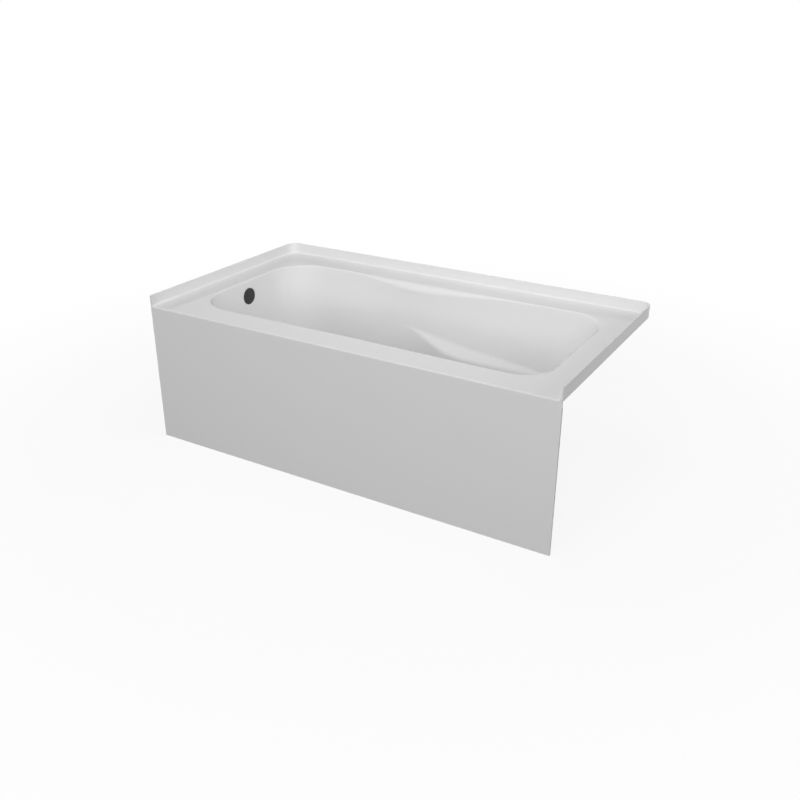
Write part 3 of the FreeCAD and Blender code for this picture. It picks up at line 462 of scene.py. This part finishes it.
def border(s, kinds, t, top, sharp):
    """Where the deck ends outside each station of half the opening, and the way out from there.

    The border is a rectangle whose corners are quarter circles, or sharp at the front. It is measured
    from the basin's axis. The stations on a corner of the opening share out the border's corner and
    the lengths beside it.
    """
    inset = s["flange_thickness"] + s["cove"]
    axis, half = basin_middle(s)
    y = axis - FRONT - s["front_edge"] if sharp else BACK - inset - axis
    r = 0.0 if sharp else s["flange_corner"] - inset
    bound = SHARP_BOUND if sharp else ROUND_BOUND
    drain = kinds < 2
    sign = np.where(drain, 1.0, -1.0)
    end = sign * (LEFT + inset)
    near_x = np.where(drain, LEFT + s["drain_rim"] + s["drain_corner"],
                      RIGHT - s["foot_rim"] - s["foot_corner"])
    near_y = half - np.where(drain, s["drain_corner"], s["foot_corner"])
    u = np.choose(kinds, [0.0 * t, t, 0.0 * t, 1.0 - t, 0.0 * t])
    turn = np.clip((u - bound) / max(1.0 - 2.0 * bound, 1e-6), 0.0, 1.0) * QUARTER
    up = points_of(end, near_y + (y - r - near_y) * np.clip(u / bound, 0.0, 1.0))
    arc = points_of(end + sign * r * (1.0 - np.cos(turn)), y - r * (1.0 - np.sin(turn)))
    over = np.clip((u - 1.0 + bound) / bound, 0.0, 1.0)
    across = points_of(end + sign * r + (near_x - end - sign * r) * over, y)
    corner = np.where((u < bound)[:, None], up, np.where((u <= 1.0 - bound + 1e-9)[:, None], arc, across))
    place = np.where(((kinds == 0) | (kinds == 4))[:, None], points_of(end, top[:, 1]), corner)
    place = np.where((kinds == 2)[:, None], points_of(top[:, 0], y), place)
    way = points_of(-sign * np.cos(turn), np.sin(turn))
    way = np.where((kinds == 2)[:, None], np.array([0.0, 1.0]), way)
    return place, way


def lofted(inner, outer, shares):
    """Rows between two loops at shares of the way, with a narrow band beside each loop."""
    reach = np.linalg.norm(outer - inner, axis=-1)
    rows = [inner, inner + (outer - inner) * (GUARD / reach)[:, None]]
    rows += [inner + (outer - inner) * share for share in shares]
    rows += [outer - (outer - inner) * (GUARD / reach)[:, None], outer]
    return np.stack(rows)


def flange_profile(s):
    """The tile flange's section as (distance out from the deck's border, height) points.

    A cove turns up from the deck, a wall rises to a lip rounded on both sides, and the outer face falls
    to the underside of the deck.
    """
    deck, cove, lip = s["deck_height"], s["cove"], s["lip_round"]
    outer, top = cove + s["flange_thickness"], deck + s["flange_height"]
    turn = np.linspace(0.0, QUARTER, 8)
    return np.concatenate([
        points_of(cove * np.sin(turn), deck + cove * (1.0 - np.cos(turn))),
        [[cove, deck + cove + GUARD], [cove, top - lip - GUARD]],
        points_of(cove + lip * (1.0 - np.cos(turn)), top - lip + lip * np.sin(turn)),
        points_of(outer - lip * (1.0 - np.sin(turn)), top - lip + lip * np.cos(turn)),
        [[outer, top - lip - GUARD], [outer, deck - s["sheet"]]]])


def shell_mesh(s):
    """The whole moulded shell with its apron, as one closed skin.

    The basin's wall and floor, the deck, the flange, the front edge and the apron follow one another
    outside. The same wall moved out by the sheet's thickness, and the undersides, close it inside.
    """
    kinds, t = stations()
    half, axis = half_wall(s)
    wall = whole_loop(half, axis)
    deck, sheet = s["deck_height"], s["sheet"]
    under = deck - sheet
    columns = wall.shape[1]

    loops = []
    for sharp, sign in ((False, 1.0), (True, -1.0)):
        place, way = border(s, kinds, t, half[0, :, :2], sharp)
        place = points_of(place[:, 0], axis + sign * place[:, 1])
        way = way * np.array([1.0, sign])
        loops.append((place, way))
    edge = np.concatenate([loops[0][0], loops[1][0][-2:0:-1]])
    way = np.concatenate([loops[0][1], loops[1][1][-2:0:-1]])

    mesh = Mesh()
    mesh.grid(wall, closed=True)
    edge_top = np.concatenate([edge, np.full((columns, 1), deck)], axis=1)
    mesh.grid(lofted(wall[0], edge_top, DECK_ROWS), closed=True)

    corner = STRETCH_STEPS[0] + STRETCH_STEPS[1] // 2
    halfway = len(t) - 1
    foot_corner = halfway + STRETCH_STEPS[4] + STRETCH_STEPS[3] // 2
    sides = np.arange(-corner, foot_corner + 1)
    profile = flange_profile(s)
    flange = np.zeros((len(profile), len(sides), 3))
    flange[..., :2] = edge[sides][None] + way[sides][None] * profile[:, :1, None]
    flange[..., 2] = profile[:, 1:]
    behind = FRONT + sheet
    flange[1:, (0, -1), 1] = behind
    ends = flange[:, (0, -1)].copy()
    ends[..., 1] = FRONT
    flange = np.concatenate([ends[:, :1], flange, ends[:, 1:]], axis=1)
    mesh.grid(flange)

    r = s["front_edge"]
    turn = np.linspace(0.0, QUARTER, 10)
    arc = points_of(FRONT + r * (1.0 - np.sin(turn)), deck - r * (1.0 - np.cos(turn)))
    section = np.concatenate([arc, [[FRONT, deck - r - GUARD], [FRONT, 0.0]]])
    x = edge[np.arange(foot_corner, columns - corner + 1)][:, 0]
    front = np.zeros((len(section), len(x), 3))
    front[..., 0] = x
    front[..., 1:] = section[:, None]
    mesh.grid(front)

    spread = x * RIGHT / abs(x[0])
    back = np.zeros((2, len(x), 3))
    back[..., 0], back[..., 1] = spread, behind
    back[1, :, 2] = under
    mesh.grid(back)
    mesh.grid(np.stack([front[-1], back[0]]))
    for side, sign in ((0, 1.0), (-1, -1.0)):
        end = flange[:, -1 if side == 0 else 0]
        base = np.array([[sign * RIGHT, FRONT, 0.0]])
        mesh.polygon(np.concatenate([end, base, front[len(turn) - 1:, side][::-1]]))
        mesh.polygon(np.concatenate([end[:1], front[:len(turn), side]]))
        mesh.polygon([end[-1], base[0], back[0, side], back[1, side]])
        mesh.polygon([base[0], front[-1, side], back[0, side]])

    normal = grid_normals(wall)
    normal *= np.sign(normal[-1, :, 2].mean())
    normal[0] = normal[-1] = (0.0, 0.0, 1.0)
    outside = wall - normal * sheet
    mesh.grid(outside, closed=True)
    reach = s["cove"] + s["flange_thickness"]
    edge_under = np.concatenate([edge + way * reach, np.full((columns, 1), under)], axis=1)
    edge_under[foot_corner:columns - corner + 1] = back[1]
    mesh.grid(lofted(outside[0], edge_under, (0.5,)), closed=True)

    drain = np.array([LEFT + s["drain_distance"], axis])
    away = wall[-1, :, :2] - drain
    seen = np.unwrap(np.arctan2(away[:, 1], away[:, 0]))
    even = seen[0] + np.sign(seen[-1] - seen[0]) * np.arange(columns) * 2.0 * math.pi / columns
    angle = (seen + even) / 2.0
    circle = drain + points_of(np.cos(angle), np.sin(angle)) * s["drain_hole"] / 2.0
    holes = []
    for ring in (wall[-1], outside[-1]):
        holes.append(np.concatenate([circle, ring[:, 2:]], axis=1))
        mesh.grid(lofted(ring, holes[-1], FLOOR_ROWS), closed=True)
    mesh.grid(np.stack(holes), closed=True)
    return mesh, wall, axis


def drain_wall(wall, s):
    """The middle of the overflow on the drain-end wall, and the wall's lean there (x per height)."""
    column = wall[:, 0]
    z = s["deck_height"] - s["overflow_depth"]
    x = np.interp(-z, -column[:, 2], column[:, 0])
    step = 10.0
    ahead = np.interp(-(z + step), -column[:, 2], column[:, 0])
    return x, z, (ahead - x) / step


def turned(profile, steps=96):
    """A grid from (radius, height) points carried round the Z axis: x = r cos a, y = r sin a."""
    angle = np.linspace(0.0, 2.0 * math.pi, steps, endpoint=False)
    profile = np.asarray(profile, float)
    radius, height = profile[:, 0][:, None], profile[:, 1][:, None]
    return points_of(radius * np.cos(angle), radius * np.sin(angle), height)


def pierced(piece, start, end, radius):
    """Cuts a round hole through a piece between two points, given in millimetres."""
    mesh = Mesh()
    axis = Vector(end) - Vector(start)
    grid = turned([(0.0, 0.0), (radius, 0.0), (radius, axis.length), (0.0, axis.length)], 64)
    turn = np.array(axis.to_track_quat("Z", "Y").to_matrix())
    mesh.grid(grid @ turn.T + np.array(start), closed=True)
    tool = mesh.build(piece.name + "_tool")
    cut = piece.modifiers.new("hole", "BOOLEAN")
    cut.operation, cut.solver, cut.object = "DIFFERENCE", "EXACT", tool
    graph = bpy.context.evaluated_depsgraph_get()
    data = bpy.data.meshes.new_from_object(piece.evaluated_get(graph), depsgraph=graph)
    piece.modifiers.clear()
    piece.data = data
    bpy.data.objects.remove(tool)
    smooth(data)


# -------------------- finishes
def feed(tree, target, value):
    """Joins a node's first output, or an output, to an input, or gives the input a plain value."""
    if isinstance(value, bpy.types.Node):
        value = value.outputs[0]
    if isinstance(value, bpy.types.NodeSocket):
        tree.links.new(value, target)
    else:
        target.default_value = value


def make_node(tree, kind, *first, **values):
    """A shader node. Values name its settings or its inputs, and the others feed its first inputs."""
    node = tree.nodes.new(kind)
    for key, value in values.items():
        if hasattr(node, key) and key not in node.inputs:
            setattr(node, key, value)
        else:
            feed(tree, node.inputs[key.replace("_", " ")], value)
    for target, value in zip(node.inputs, first):
        feed(tree, target, value)
    return node


def mixed(tree, share, colour, other):
    """A mix of two colours."""
    mix = make_node(tree, "ShaderNodeMix", share, data_type="RGBA")
    feed(tree, mix.inputs[6], colour)
    feed(tree, mix.inputs[7], other)
    return mix.outputs[2]


def object_place(tree):
    """The piece's Object coordinates."""
    return make_node(tree, "ShaderNodeTexCoord").outputs["Object"]


def new_group(name, inputs, outputs):
    """An empty shader group. Its inputs are (name, kind, default) and its outputs (name, kind)."""
    tree = bpy.data.node_groups.new(name, "ShaderNodeTree")
    for label, kind, default in inputs:
        socket = tree.interface.new_socket(label, in_out="INPUT", socket_type="NodeSocket" + kind)
        socket.default_value = default
    for label, kind in outputs:
        tree.interface.new_socket(label, in_out="OUTPUT", socket_type="NodeSocket" + kind)
    return tree, tree.nodes.new("NodeGroupInput").outputs, tree.nodes.new("NodeGroupOutput").inputs


def mottle_group():
    """Slow variation of a colour and of a roughness, the same on all sides."""
    tree, given, out = new_group(
        "Mottle",
        [("Color", "Color", (0.8, 0.8, 0.8, 1.0)), ("Dark", "Color", (0.7, 0.7, 0.7, 1.0)),
         ("Scale", "Float", 6.0), ("Amount", "Float", 0.3),
         ("Roughness", "Float", 0.3), ("Roughness Spread", "Float", 0.05)],
        [("Color", "Color"), ("Roughness", "Float")])
    slow = make_node(tree, "ShaderNodeTexNoise", Vector=object_place(tree), Scale=given["Scale"], Detail=3.0)
    share = make_node(tree, "ShaderNodeMath", slow, given["Amount"], operation="MULTIPLY")
    feed(tree, out["Color"], mixed(tree, share, given["Color"], given["Dark"]))
    ends = [make_node(tree, "ShaderNodeMath", given["Roughness"], given["Roughness Spread"], operation=way)
            for way in ("SUBTRACT", "ADD")]
    feed(tree, out["Roughness"], make_node(tree, "ShaderNodeMapRange", slow, 0.3, 0.7, *ends))


def grain_group():
    """Wood grain along X after the mapping: rings stretched far along the wood, with darker late wood."""
    tree, given, out = new_group(
        "Wood grain",
        [("Vector", "Vector", (0.0, 0.0, 0.0)), ("Light", "Color", (0.6, 0.4, 0.2, 1.0)),
         ("Dark", "Color", (0.3, 0.2, 0.1, 1.0))],
        [("Color", "Color"), ("Height", "Float")])
    place = given["Vector"]
    wobble = make_node(tree, "ShaderNodeTexNoise", Vector=place, Scale=2.2, Detail=4.0)
    shift = make_node(tree, "ShaderNodeVectorMath", wobble.outputs["Color"], operation="SCALE", Scale=0.35)
    moved = make_node(tree, "ShaderNodeVectorMath", place, shift, operation="ADD")
    rings = make_node(tree, "ShaderNodeTexWave", moved, wave_type="RINGS", rings_direction="X", Scale=1.6,
                      Distortion=1.2, Detail=3.0, Detail_Scale=1.5)
    along = make_node(tree, "ShaderNodeVectorMath", place, (1.5, 22.0, 22.0), operation="MULTIPLY")
    fibre = make_node(tree, "ShaderNodeTexNoise", Vector=along, Scale=2.0, Detail=5.0)
    late = make_node(tree, "ShaderNodeMapRange", rings.outputs["Fac"], 0.25, 1.0, 0.0, 0.75)
    both = make_node(tree, "ShaderNodeMath", fibre, 0.5, late, operation="MULTIPLY_ADD")
    feed(tree, out["Color"], mixed(tree, both, given["Light"], given["Dark"]))
    feed(tree, out["Height"], both)


def new_material(name, **values):
    """A material with a Principled shader, whose inputs are set by name."""
    material = bpy.data.materials.new(name)
    material.use_nodes = True
    tree = material.node_tree
    shader = tree.nodes["Principled BSDF"]
    for key, value in values.items():
        shader.inputs[key.replace("_", " ")].default_value = value
    return material, tree, shader


def four(colour, factor=1.0):
    """A colour with its alpha, made lighter or darker by a factor."""
    return tuple(channel * factor for channel in colour) + (1.0,)


def bumped(tree, shader, height, strength, distance):
    """Feeds a height to the shader's normal."""
    bump = make_node(tree, "ShaderNodeBump", Strength=strength, Distance=distance, Height=height)
    feed(tree, shader.inputs["Normal"], bump)


def mottled(name, colour, dark, scale, amount, roughness, spread, bump=None, **values):
    """A plain finish with a mottled colour and roughness, and a noise bump as (scale, strength, distance).

    The dark of the mottling is a share of the colour.
    """
    material, tree, shader = new_material(name, **values)
    group = make_node(tree, "ShaderNodeGroup", node_tree=bpy.data.node_groups["Mottle"], Color=four(colour),
                      Dark=four(colour, dark), Scale=scale, Amount=amount, Roughness=roughness,
                      Roughness_Spread=spread)
    feed(tree, shader.inputs["Base Color"], group.outputs["Color"])
    feed(tree, shader.inputs["Roughness"], group.outputs["Roughness"])
    if bump:
        scale, strength, distance = bump
        noise = make_node(tree, "ShaderNodeTexNoise", Vector=object_place(tree), Scale=scale, Detail=4.0)
        bumped(tree, shader, noise, strength, distance)
    return material


def wood(name, colour, turn, middle):
    """Timber whose grain runs along the axis that the turn brings to X."""
    material, tree, shader = new_material(name, Roughness=0.62)
    place = make_node(tree, "ShaderNodeMapping", object_place(tree), middle, turn, GRAIN_SIZE,
                      vector_type="TEXTURE")
    late = tuple(channel * share for channel, share in zip(colour, LATE_WOOD))
    group = make_node(tree, "ShaderNodeGroup", node_tree=bpy.data.node_groups["Wood grain"], Vector=place,
                      Light=four(colour), Dark=four(late))
    feed(tree, shader.inputs["Base Color"], group.outputs["Color"])
    bumped(tree, shader, group.outputs["Height"], 0.3, 0.0006)
    return material


def fibreglass(name, colour):
    """Chopped glass strands in resin: pale crossing strands over a cloudy, glossy, uneven coat."""
    material, tree, shader = new_material(name, Roughness=0.33)
    where = object_place(tree)
    cloud = make_node(tree, "ShaderNodeTexNoise", Vector=where, Scale=14.0, Detail=5.0)
    strands = None
    for turn in STRAND_TURNS:
        place = make_node(tree, "ShaderNodeMapping", where, Rotation=turn, Scale=STRAND_SCALE)
        noise = make_node(tree, "ShaderNodeTexNoise", Vector=place, Scale=1.0, Detail=2.0)
        strands = make_node(tree, "ShaderNodeMath", strands, noise, operation="MAXIMUM") if strands else noise
    sharp = make_node(tree, "ShaderNodeMapRange", strands, 0.5, 0.72)
    base = mixed(tree, cloud, four(colour), four(colour, 0.62))
    share = make_node(tree, "ShaderNodeMath", sharp, 0.6, operation="MULTIPLY")
    feed(tree, shader.inputs["Base Color"], mixed(tree, share, base, (0.74, 0.73, 0.66, 1.0)))
    bumped(tree, shader, make_node(tree, "ShaderNodeMath", cloud, 2.0, sharp, operation="MULTIPLY_ADD"),
           0.6, 0.0012)
    return material


def chipboard(name, colour):
    """Chips pressed flat: cells of lighter and darker wood with a slightly rough face."""
    material, tree, shader = new_material(name, Roughness=0.75)
    cells = make_node(tree, "ShaderNodeTexVoronoi", Vector=object_place(tree), Scale=170.0)
    grey = make_node(tree, "ShaderNodeSeparateColor", cells.outputs["Color"])
    feed(tree, shader.inputs["Base Color"], mixed(tree, grey, four(colour, 1.15), four(colour, 0.55)))
    bumped(tree, shader, cells.outputs["Distance"], 0.35, 0.0008)
    return material


def make_finishes():
    """Every material but the timber by the record's slot name."""
    mottle_group()
    grain_group()
    chosen = bpy.context.scene.bathtub_finish
    colour = {key: tuple(getattr(chosen, key)) for key in BATHTUB_PG_finish.__annotations__}
    steel = colour["steel"]
    return {
        "acrylic": mottled("Gloss white acrylic", colour["acrylic"], 0.97, 3.0, 0.6, 0.06, 0.02,
                           bump=(60.0, 0.02, 0.0004), Specular_IOR_Level=0.35),
        "fibreglass": fibreglass("Chopped glass in resin", colour["resin"]),
        "board": chipboard("Chipboard", colour["board"]),
        "black_trim": mottled("Satin black trim", colour["trim"], 0.6, 90.0, 0.5, 0.38, 0.06,
                              bump=(900.0, 0.12, 0.0002)),
        "black_plastic": mottled("Black pipe plastic", colour["plastic"], 0.5, 30.0, 0.6, 0.34, 0.08,
                                 bump=(260.0, 0.15, 0.0004)),
        "white_washer": mottled("White washer plastic", colour["washer"], 0.9, 60.0, 0.5, 0.4, 0.05),
        "rubber": mottled("Black rubber", colour["rubber"], 0.6, 120.0, 0.6, 0.7, 0.08,
                          bump=(500.0, 0.3, 0.0004)),
        "brass": mottled("Turned brass", colour["brass"], 0.8, 60.0, 0.6, 0.28, 0.06, Metallic=1.0),
        "steel": mottled("Zinc-plated steel", steel, 0.75, 120.0, 0.7, 0.34, 0.08, Metallic=1.0),
        "spring_steel": mottled("Spring steel", four(steel, 0.8)[:3], 0.75, 200.0, 0.6, 0.3, 0.06,
                                Metallic=1.0),
    }


# -------------------- operators
def shown(node, material):
    """Gives a CAD node's object its material."""
    data = NODES[node].data
    data.materials.clear()
    data.materials.append(material)


class BATHTUB_OT_finishes(bpy.types.Operator):
    """Makes the finishes and gives every CAD node its own"""

    bl_idname = "bathtub.finishes"
    bl_label = "Finishes"

    def execute(self, context):
        finishes = make_finishes()
        timber = tuple(context.scene.bathtub_finish.timber)
        slots = node_slots()
        for name in sorted(NODES):
            slot = slots[name]
            if slot == "timber":
                low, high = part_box(name)
                size, middle = high - low, (high + low) / 2.0
                longest = max(range(3), key=lambda k: size[k])
                turn = ((0.0, 0.0, 0.0), (0.0, 0.0, QUARTER), (0.0, QUARTER, 0.0))[longest]
                shown(name, wood("Timber " + name, timber, turn, middle + HEART))
            else:
                shown(name, finishes[slot])
        return {"FINISHED"}


def node_slots():
    """The record's material slot of each CAD node."""
    return {part["node"]: part["material_slot"] for part in FRAME["record"]["subparts"]}


class BATHTUB_OT_shell(bpy.types.Operator):
    """Makes the moulded shell with its deck, flange, basin and apron"""

    bl_idname = "bathtub.shell"
    bl_label = "Moulded shell"

    def execute(self, context):
        s = shell_sizes()
        mesh, wall, axis = shell_mesh(s)
        piece = mesh.build("bathtub_shell")
        x, z, _ = drain_wall(wall, s)
        half = s["overflow_hole"] / 2.0
        pierced(piece, (x - half, axis, z), (x + half, axis, z), half)
        finished(piece, "Gloss white acrylic", "acrylic", "tub", "acrylic_shell", "apron_panel")
        return {"FINISHED"}


class BATHTUB_OT_overflow(bpy.types.Operator):
    """Makes the overflow cover on the drain-end wall"""

    bl_idname = "bathtub.overflow"
    bl_label = "Overflow cover"

    def execute(self, context):
        s, trim = shell_sizes(), context.scene.bathtub_trim
        half, axis = half_wall(s)
        x, z, lean = drain_wall(half, s)
        radius, crown = trim.cover_diameter / 2.0 / MM, trim.cover_crown / MM
        face = trim.cover_depth / MM - crown
        floor = face - COVER_WALL
        inner, edge = radius - COVER_WALL, COVER_EDGE
        turn = np.linspace(0.0, QUARTER, 6)
        front = [(inner * v, face + crown * (1.0 - v * v)) for v in np.linspace(0.0, 1.0, 12)]
        side = [(radius - edge + edge * math.sin(a), face - edge + edge * math.cos(a)) for a in turn[1:]]
        profile = np.array(front + [(radius - edge, face)] + side
                           + [(radius, 0.0), (inner, 0.0), (inner, floor), (0.0, floor)])
        grid = turned(profile)
        up, across, out = grid[..., 0], grid[..., 1], grid[..., 2]
        slot = (np.abs(across) < COVER_SLOT) & (up < 0.0)
        back = np.zeros(len(profile), bool)
        back[-4:-2] = True
        out = np.where(back[:, None], np.where(slot, floor, lean * up + COVER_PLAY), out)
        mesh = Mesh()
        mesh.grid(points_of(x + out, axis + across, z + up), closed=True)
        rim = floor - COVER_PLAY
        grip = turned([(GRIP_INNER, -GRIP_REACH), (GRIP_OUTER, -GRIP_REACH), (GRIP_OUTER, rim),
                       (GRIP_INNER, rim), (GRIP_INNER, -GRIP_REACH)])
        mesh.grid(points_of(x + grip[..., 2], axis + grip[..., 1], z + grip[..., 0]), closed=True)
        piece = mesh.build("overflow_face")
        finished(piece, "Satin black trim", "black_trim", "tub", "overflow_cover")
        return {"FINISHED"}


class BATHTUB_OT_stopper(bpy.types.Operator):
    """Makes the crowned cap of the stopper"""

    bl_idname = "bathtub.stopper"
    bl_label = "Stopper cap"

    def execute(self, context):
        low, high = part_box("stopper_cap")
        middle = np.array([(low.x + high.x) / 2.0 / MM, (low.y + high.y) / 2.0 / MM, 0.0])
        radius, bottom, lip = (high.x - low.x) / 2.0 / MM, low.z / MM, CAP_LIP
        crown = context.scene.bathtub_trim.cap_crown / MM
        turn = np.linspace(0.0, QUARTER, 6)[1:]
        rise = high.z / MM - crown
        profile = [(0.0, bottom + STEM_DEPTH), (STEM_HOLE, bottom + STEM_DEPTH), (STEM_HOLE, bottom),
                   (radius - lip, bottom)]
        profile += [(radius - lip + lip * math.sin(a), bottom + lip * (1.0 - math.cos(a))) for a in turn]
        profile += [(radius, rise - lip)]
        profile += [(radius - lip * (1.0 - math.cos(a)), rise - lip + lip * math.sin(a)) for a in turn]
        profile += [((radius - lip) * (1.0 - v), rise + crown * (1.0 - (1.0 - v) ** 2))
                    for v in np.linspace(0.0, 1.0, 14)[1:]]
        mesh = Mesh()
        mesh.grid(turned(profile) + middle, closed=True)
        piece = mesh.build("stopper_top")
        finished(piece, "Satin black trim", "black_trim", "stopper", "stopper_cap")
        return {"FINISHED"}


class BATHTUB_OT_studio(bpy.types.Operator):
    """Makes the floor, the soft lights and the camera"""

    bl_idname = "bathtub.studio"
    bl_label = "Studio"

    def execute(self, context):
        scene = context.scene
        scene.view_settings.view_transform = "Standard"
        scene.camera = self.camera()
        self.floor()
        self.world(scene)
        for name, place, aim, width, depth, watts in LAMPS:
            self.lamp(name, place, aim, width, depth, watts)
        return {"FINISHED"}

    def camera(self):
        """The photograph's view: a long lens above the foot end, looking down at the basin."""
        bearing, tilt, roll = (math.radians(turn) for turn in CAMERA_TURNS)
        level = math.cos(tilt)
        ahead = Vector((math.sin(bearing) * level, math.cos(bearing) * level, math.sin(tilt)))
        right = ahead.cross(Vector((0.0, 0.0, 1.0))).normalized()
        above = right.cross(ahead)
        turned_right = right * math.cos(roll) + above * math.sin(roll)
        turned_up = above * math.cos(roll) - right * math.sin(roll)
        data = bpy.data.cameras.new("Camera")
        data.lens, data.sensor_width = CAMERA_LENS, 36.0
        data.clip_start, data.clip_end = 0.05, 300.0
        camera = placed("Camera", data)
        camera.matrix_world = Matrix((turned_right, turned_up, -ahead)).transposed().to_4x4()
        camera.location = CAMERA_PLACE
        return camera

    def seen(self, tree):
        """1 for camera, glossy and transmission rays, and 0 for the rays that carry light."""
        path = make_node(tree, "ShaderNodeLightPath").outputs
        seen = path["Is Camera Ray"]
        for ray in ("Is Glossy Ray", "Is Transmission Ray"):
            seen = make_node(tree, "ShaderNodeMath", seen, path[ray], operation="MAXIMUM")
        return seen

    def floor(self):
        """A wide floor that looks white but for a faint shadow, and throws little light back."""
        data = bpy.data.meshes.new("floor")
        r = FLOOR_REACH
        data.from_pydata([(-r, -r, 0.0), (r, -r, 0.0), (r, r, 0.0), (-r, r, 0.0)], [], [(0, 1, 2, 3)])
        floor = placed("floor", data)
        floor.location.z = -0.0005
        material, tree, shader = new_material("Pale floor", Base_Color=FLOOR_DARK, Roughness=0.9,
                                              Specular_IOR_Level=0.0)
        pale = make_node(tree, "ShaderNodeBsdfDiffuse", FLOOR_PALE)
        white = make_node(tree, "ShaderNodeEmission", WHITE, 1.0)
        distance = make_node(tree, "ShaderNodeVectorMath", object_place(tree), operation="LENGTH")
        share = make_node(tree, "ShaderNodeMapRange", distance.outputs["Value"], *FLOOR_FADE, FLOOR_GLOW, 1.0,
                          interpolation_type="SMOOTHSTEP")
        shown_floor = make_node(tree, "ShaderNodeMixShader", share, pale, white)
        mix = make_node(tree, "ShaderNodeMixShader", self.seen(tree), shader, shown_floor)
        feed(tree, tree.nodes["Material Output"].inputs["Surface"], mix)
        data.materials.append(material)

    def world(self, scene):
        """White where it is seen, and an even grey light elsewhere."""
        world = bpy.data.worlds.new("Studio")
        scene.world = world
        world.use_nodes = True
        tree = world.node_tree
        light = tree.nodes["Background"]
        light.inputs["Color"].default_value = WHITE
        light.inputs["Strength"].default_value = WORLD_STRENGTH
        seen = make_node(tree, "ShaderNodeBackground", WHITE, 1.0)
        mix = make_node(tree, "ShaderNodeMixShader", self.seen(tree), light, seen)
        feed(tree, tree.nodes["World Output"].inputs["Surface"], mix)

    def lamp(self, name, place, aim, width, depth, watts):
        """A soft rectangular light that points at a place."""
        data = bpy.data.lights.new(name, "AREA")
        data.shape, data.size, data.size_y, data.energy = "RECTANGLE", width, depth, watts
        lamp = placed(name, data)
        lamp.location = place
        lamp.rotation_euler = (Vector(aim) - Vector(place)).to_track_quat("-Z", "Y").to_euler()
        lamp.visible_glossy = False


OPERATORS = (BATHTUB_OT_finishes, BATHTUB_OT_shell, BATHTUB_OT_overflow, BATHTUB_OT_stopper,
             BATHTUB_OT_studio)


class BATHTUB_PT_panel(bpy.types.Panel):
    """Lists the pieces of the bathtub"""

    bl_label = "Alcove bathtub"
    bl_idname = "BATHTUB_PT_panel"
    bl_space_type = "VIEW_3D"
    bl_region_type = "UI"
    bl_category = "Bathtub"

    def draw(self, context):
        for operator in OPERATORS:
            self.layout.operator(operator.bl_idname)
        for group in GROUPS:
            owner = getattr(context.scene, group)
            for key in type(owner).__annotations__:
                self.layout.prop(owner, key)


GROUPS = {"bathtub_shell": BATHTUB_PG_shell, "bathtub_trim": BATHTUB_PG_trim,
          "bathtub_finish": BATHTUB_PG_finish}


def register():
    for name, group in GROUPS.items():
        bpy.utils.register_class(group)
        setattr(bpy.types.Scene, name, bpy.props.PointerProperty(type=group))
    for item in OPERATORS + (BATHTUB_PT_panel,):
        bpy.utils.register_class(item)


def unregister():
    for item in reversed(OPERATORS + (BATHTUB_PT_panel,)):
        bpy.utils.unregister_class(item)
    for name, group in reversed(GROUPS.items()):
        delattr(bpy.types.Scene, name)
        bpy.utils.unregister_class(group)


def main():
    register()
    for operator in OPERATORS:
        family, name = operator.bl_idname.split(".")
        getattr(getattr(bpy.ops, family), name)()


if __name__ == "__main__":
    main()
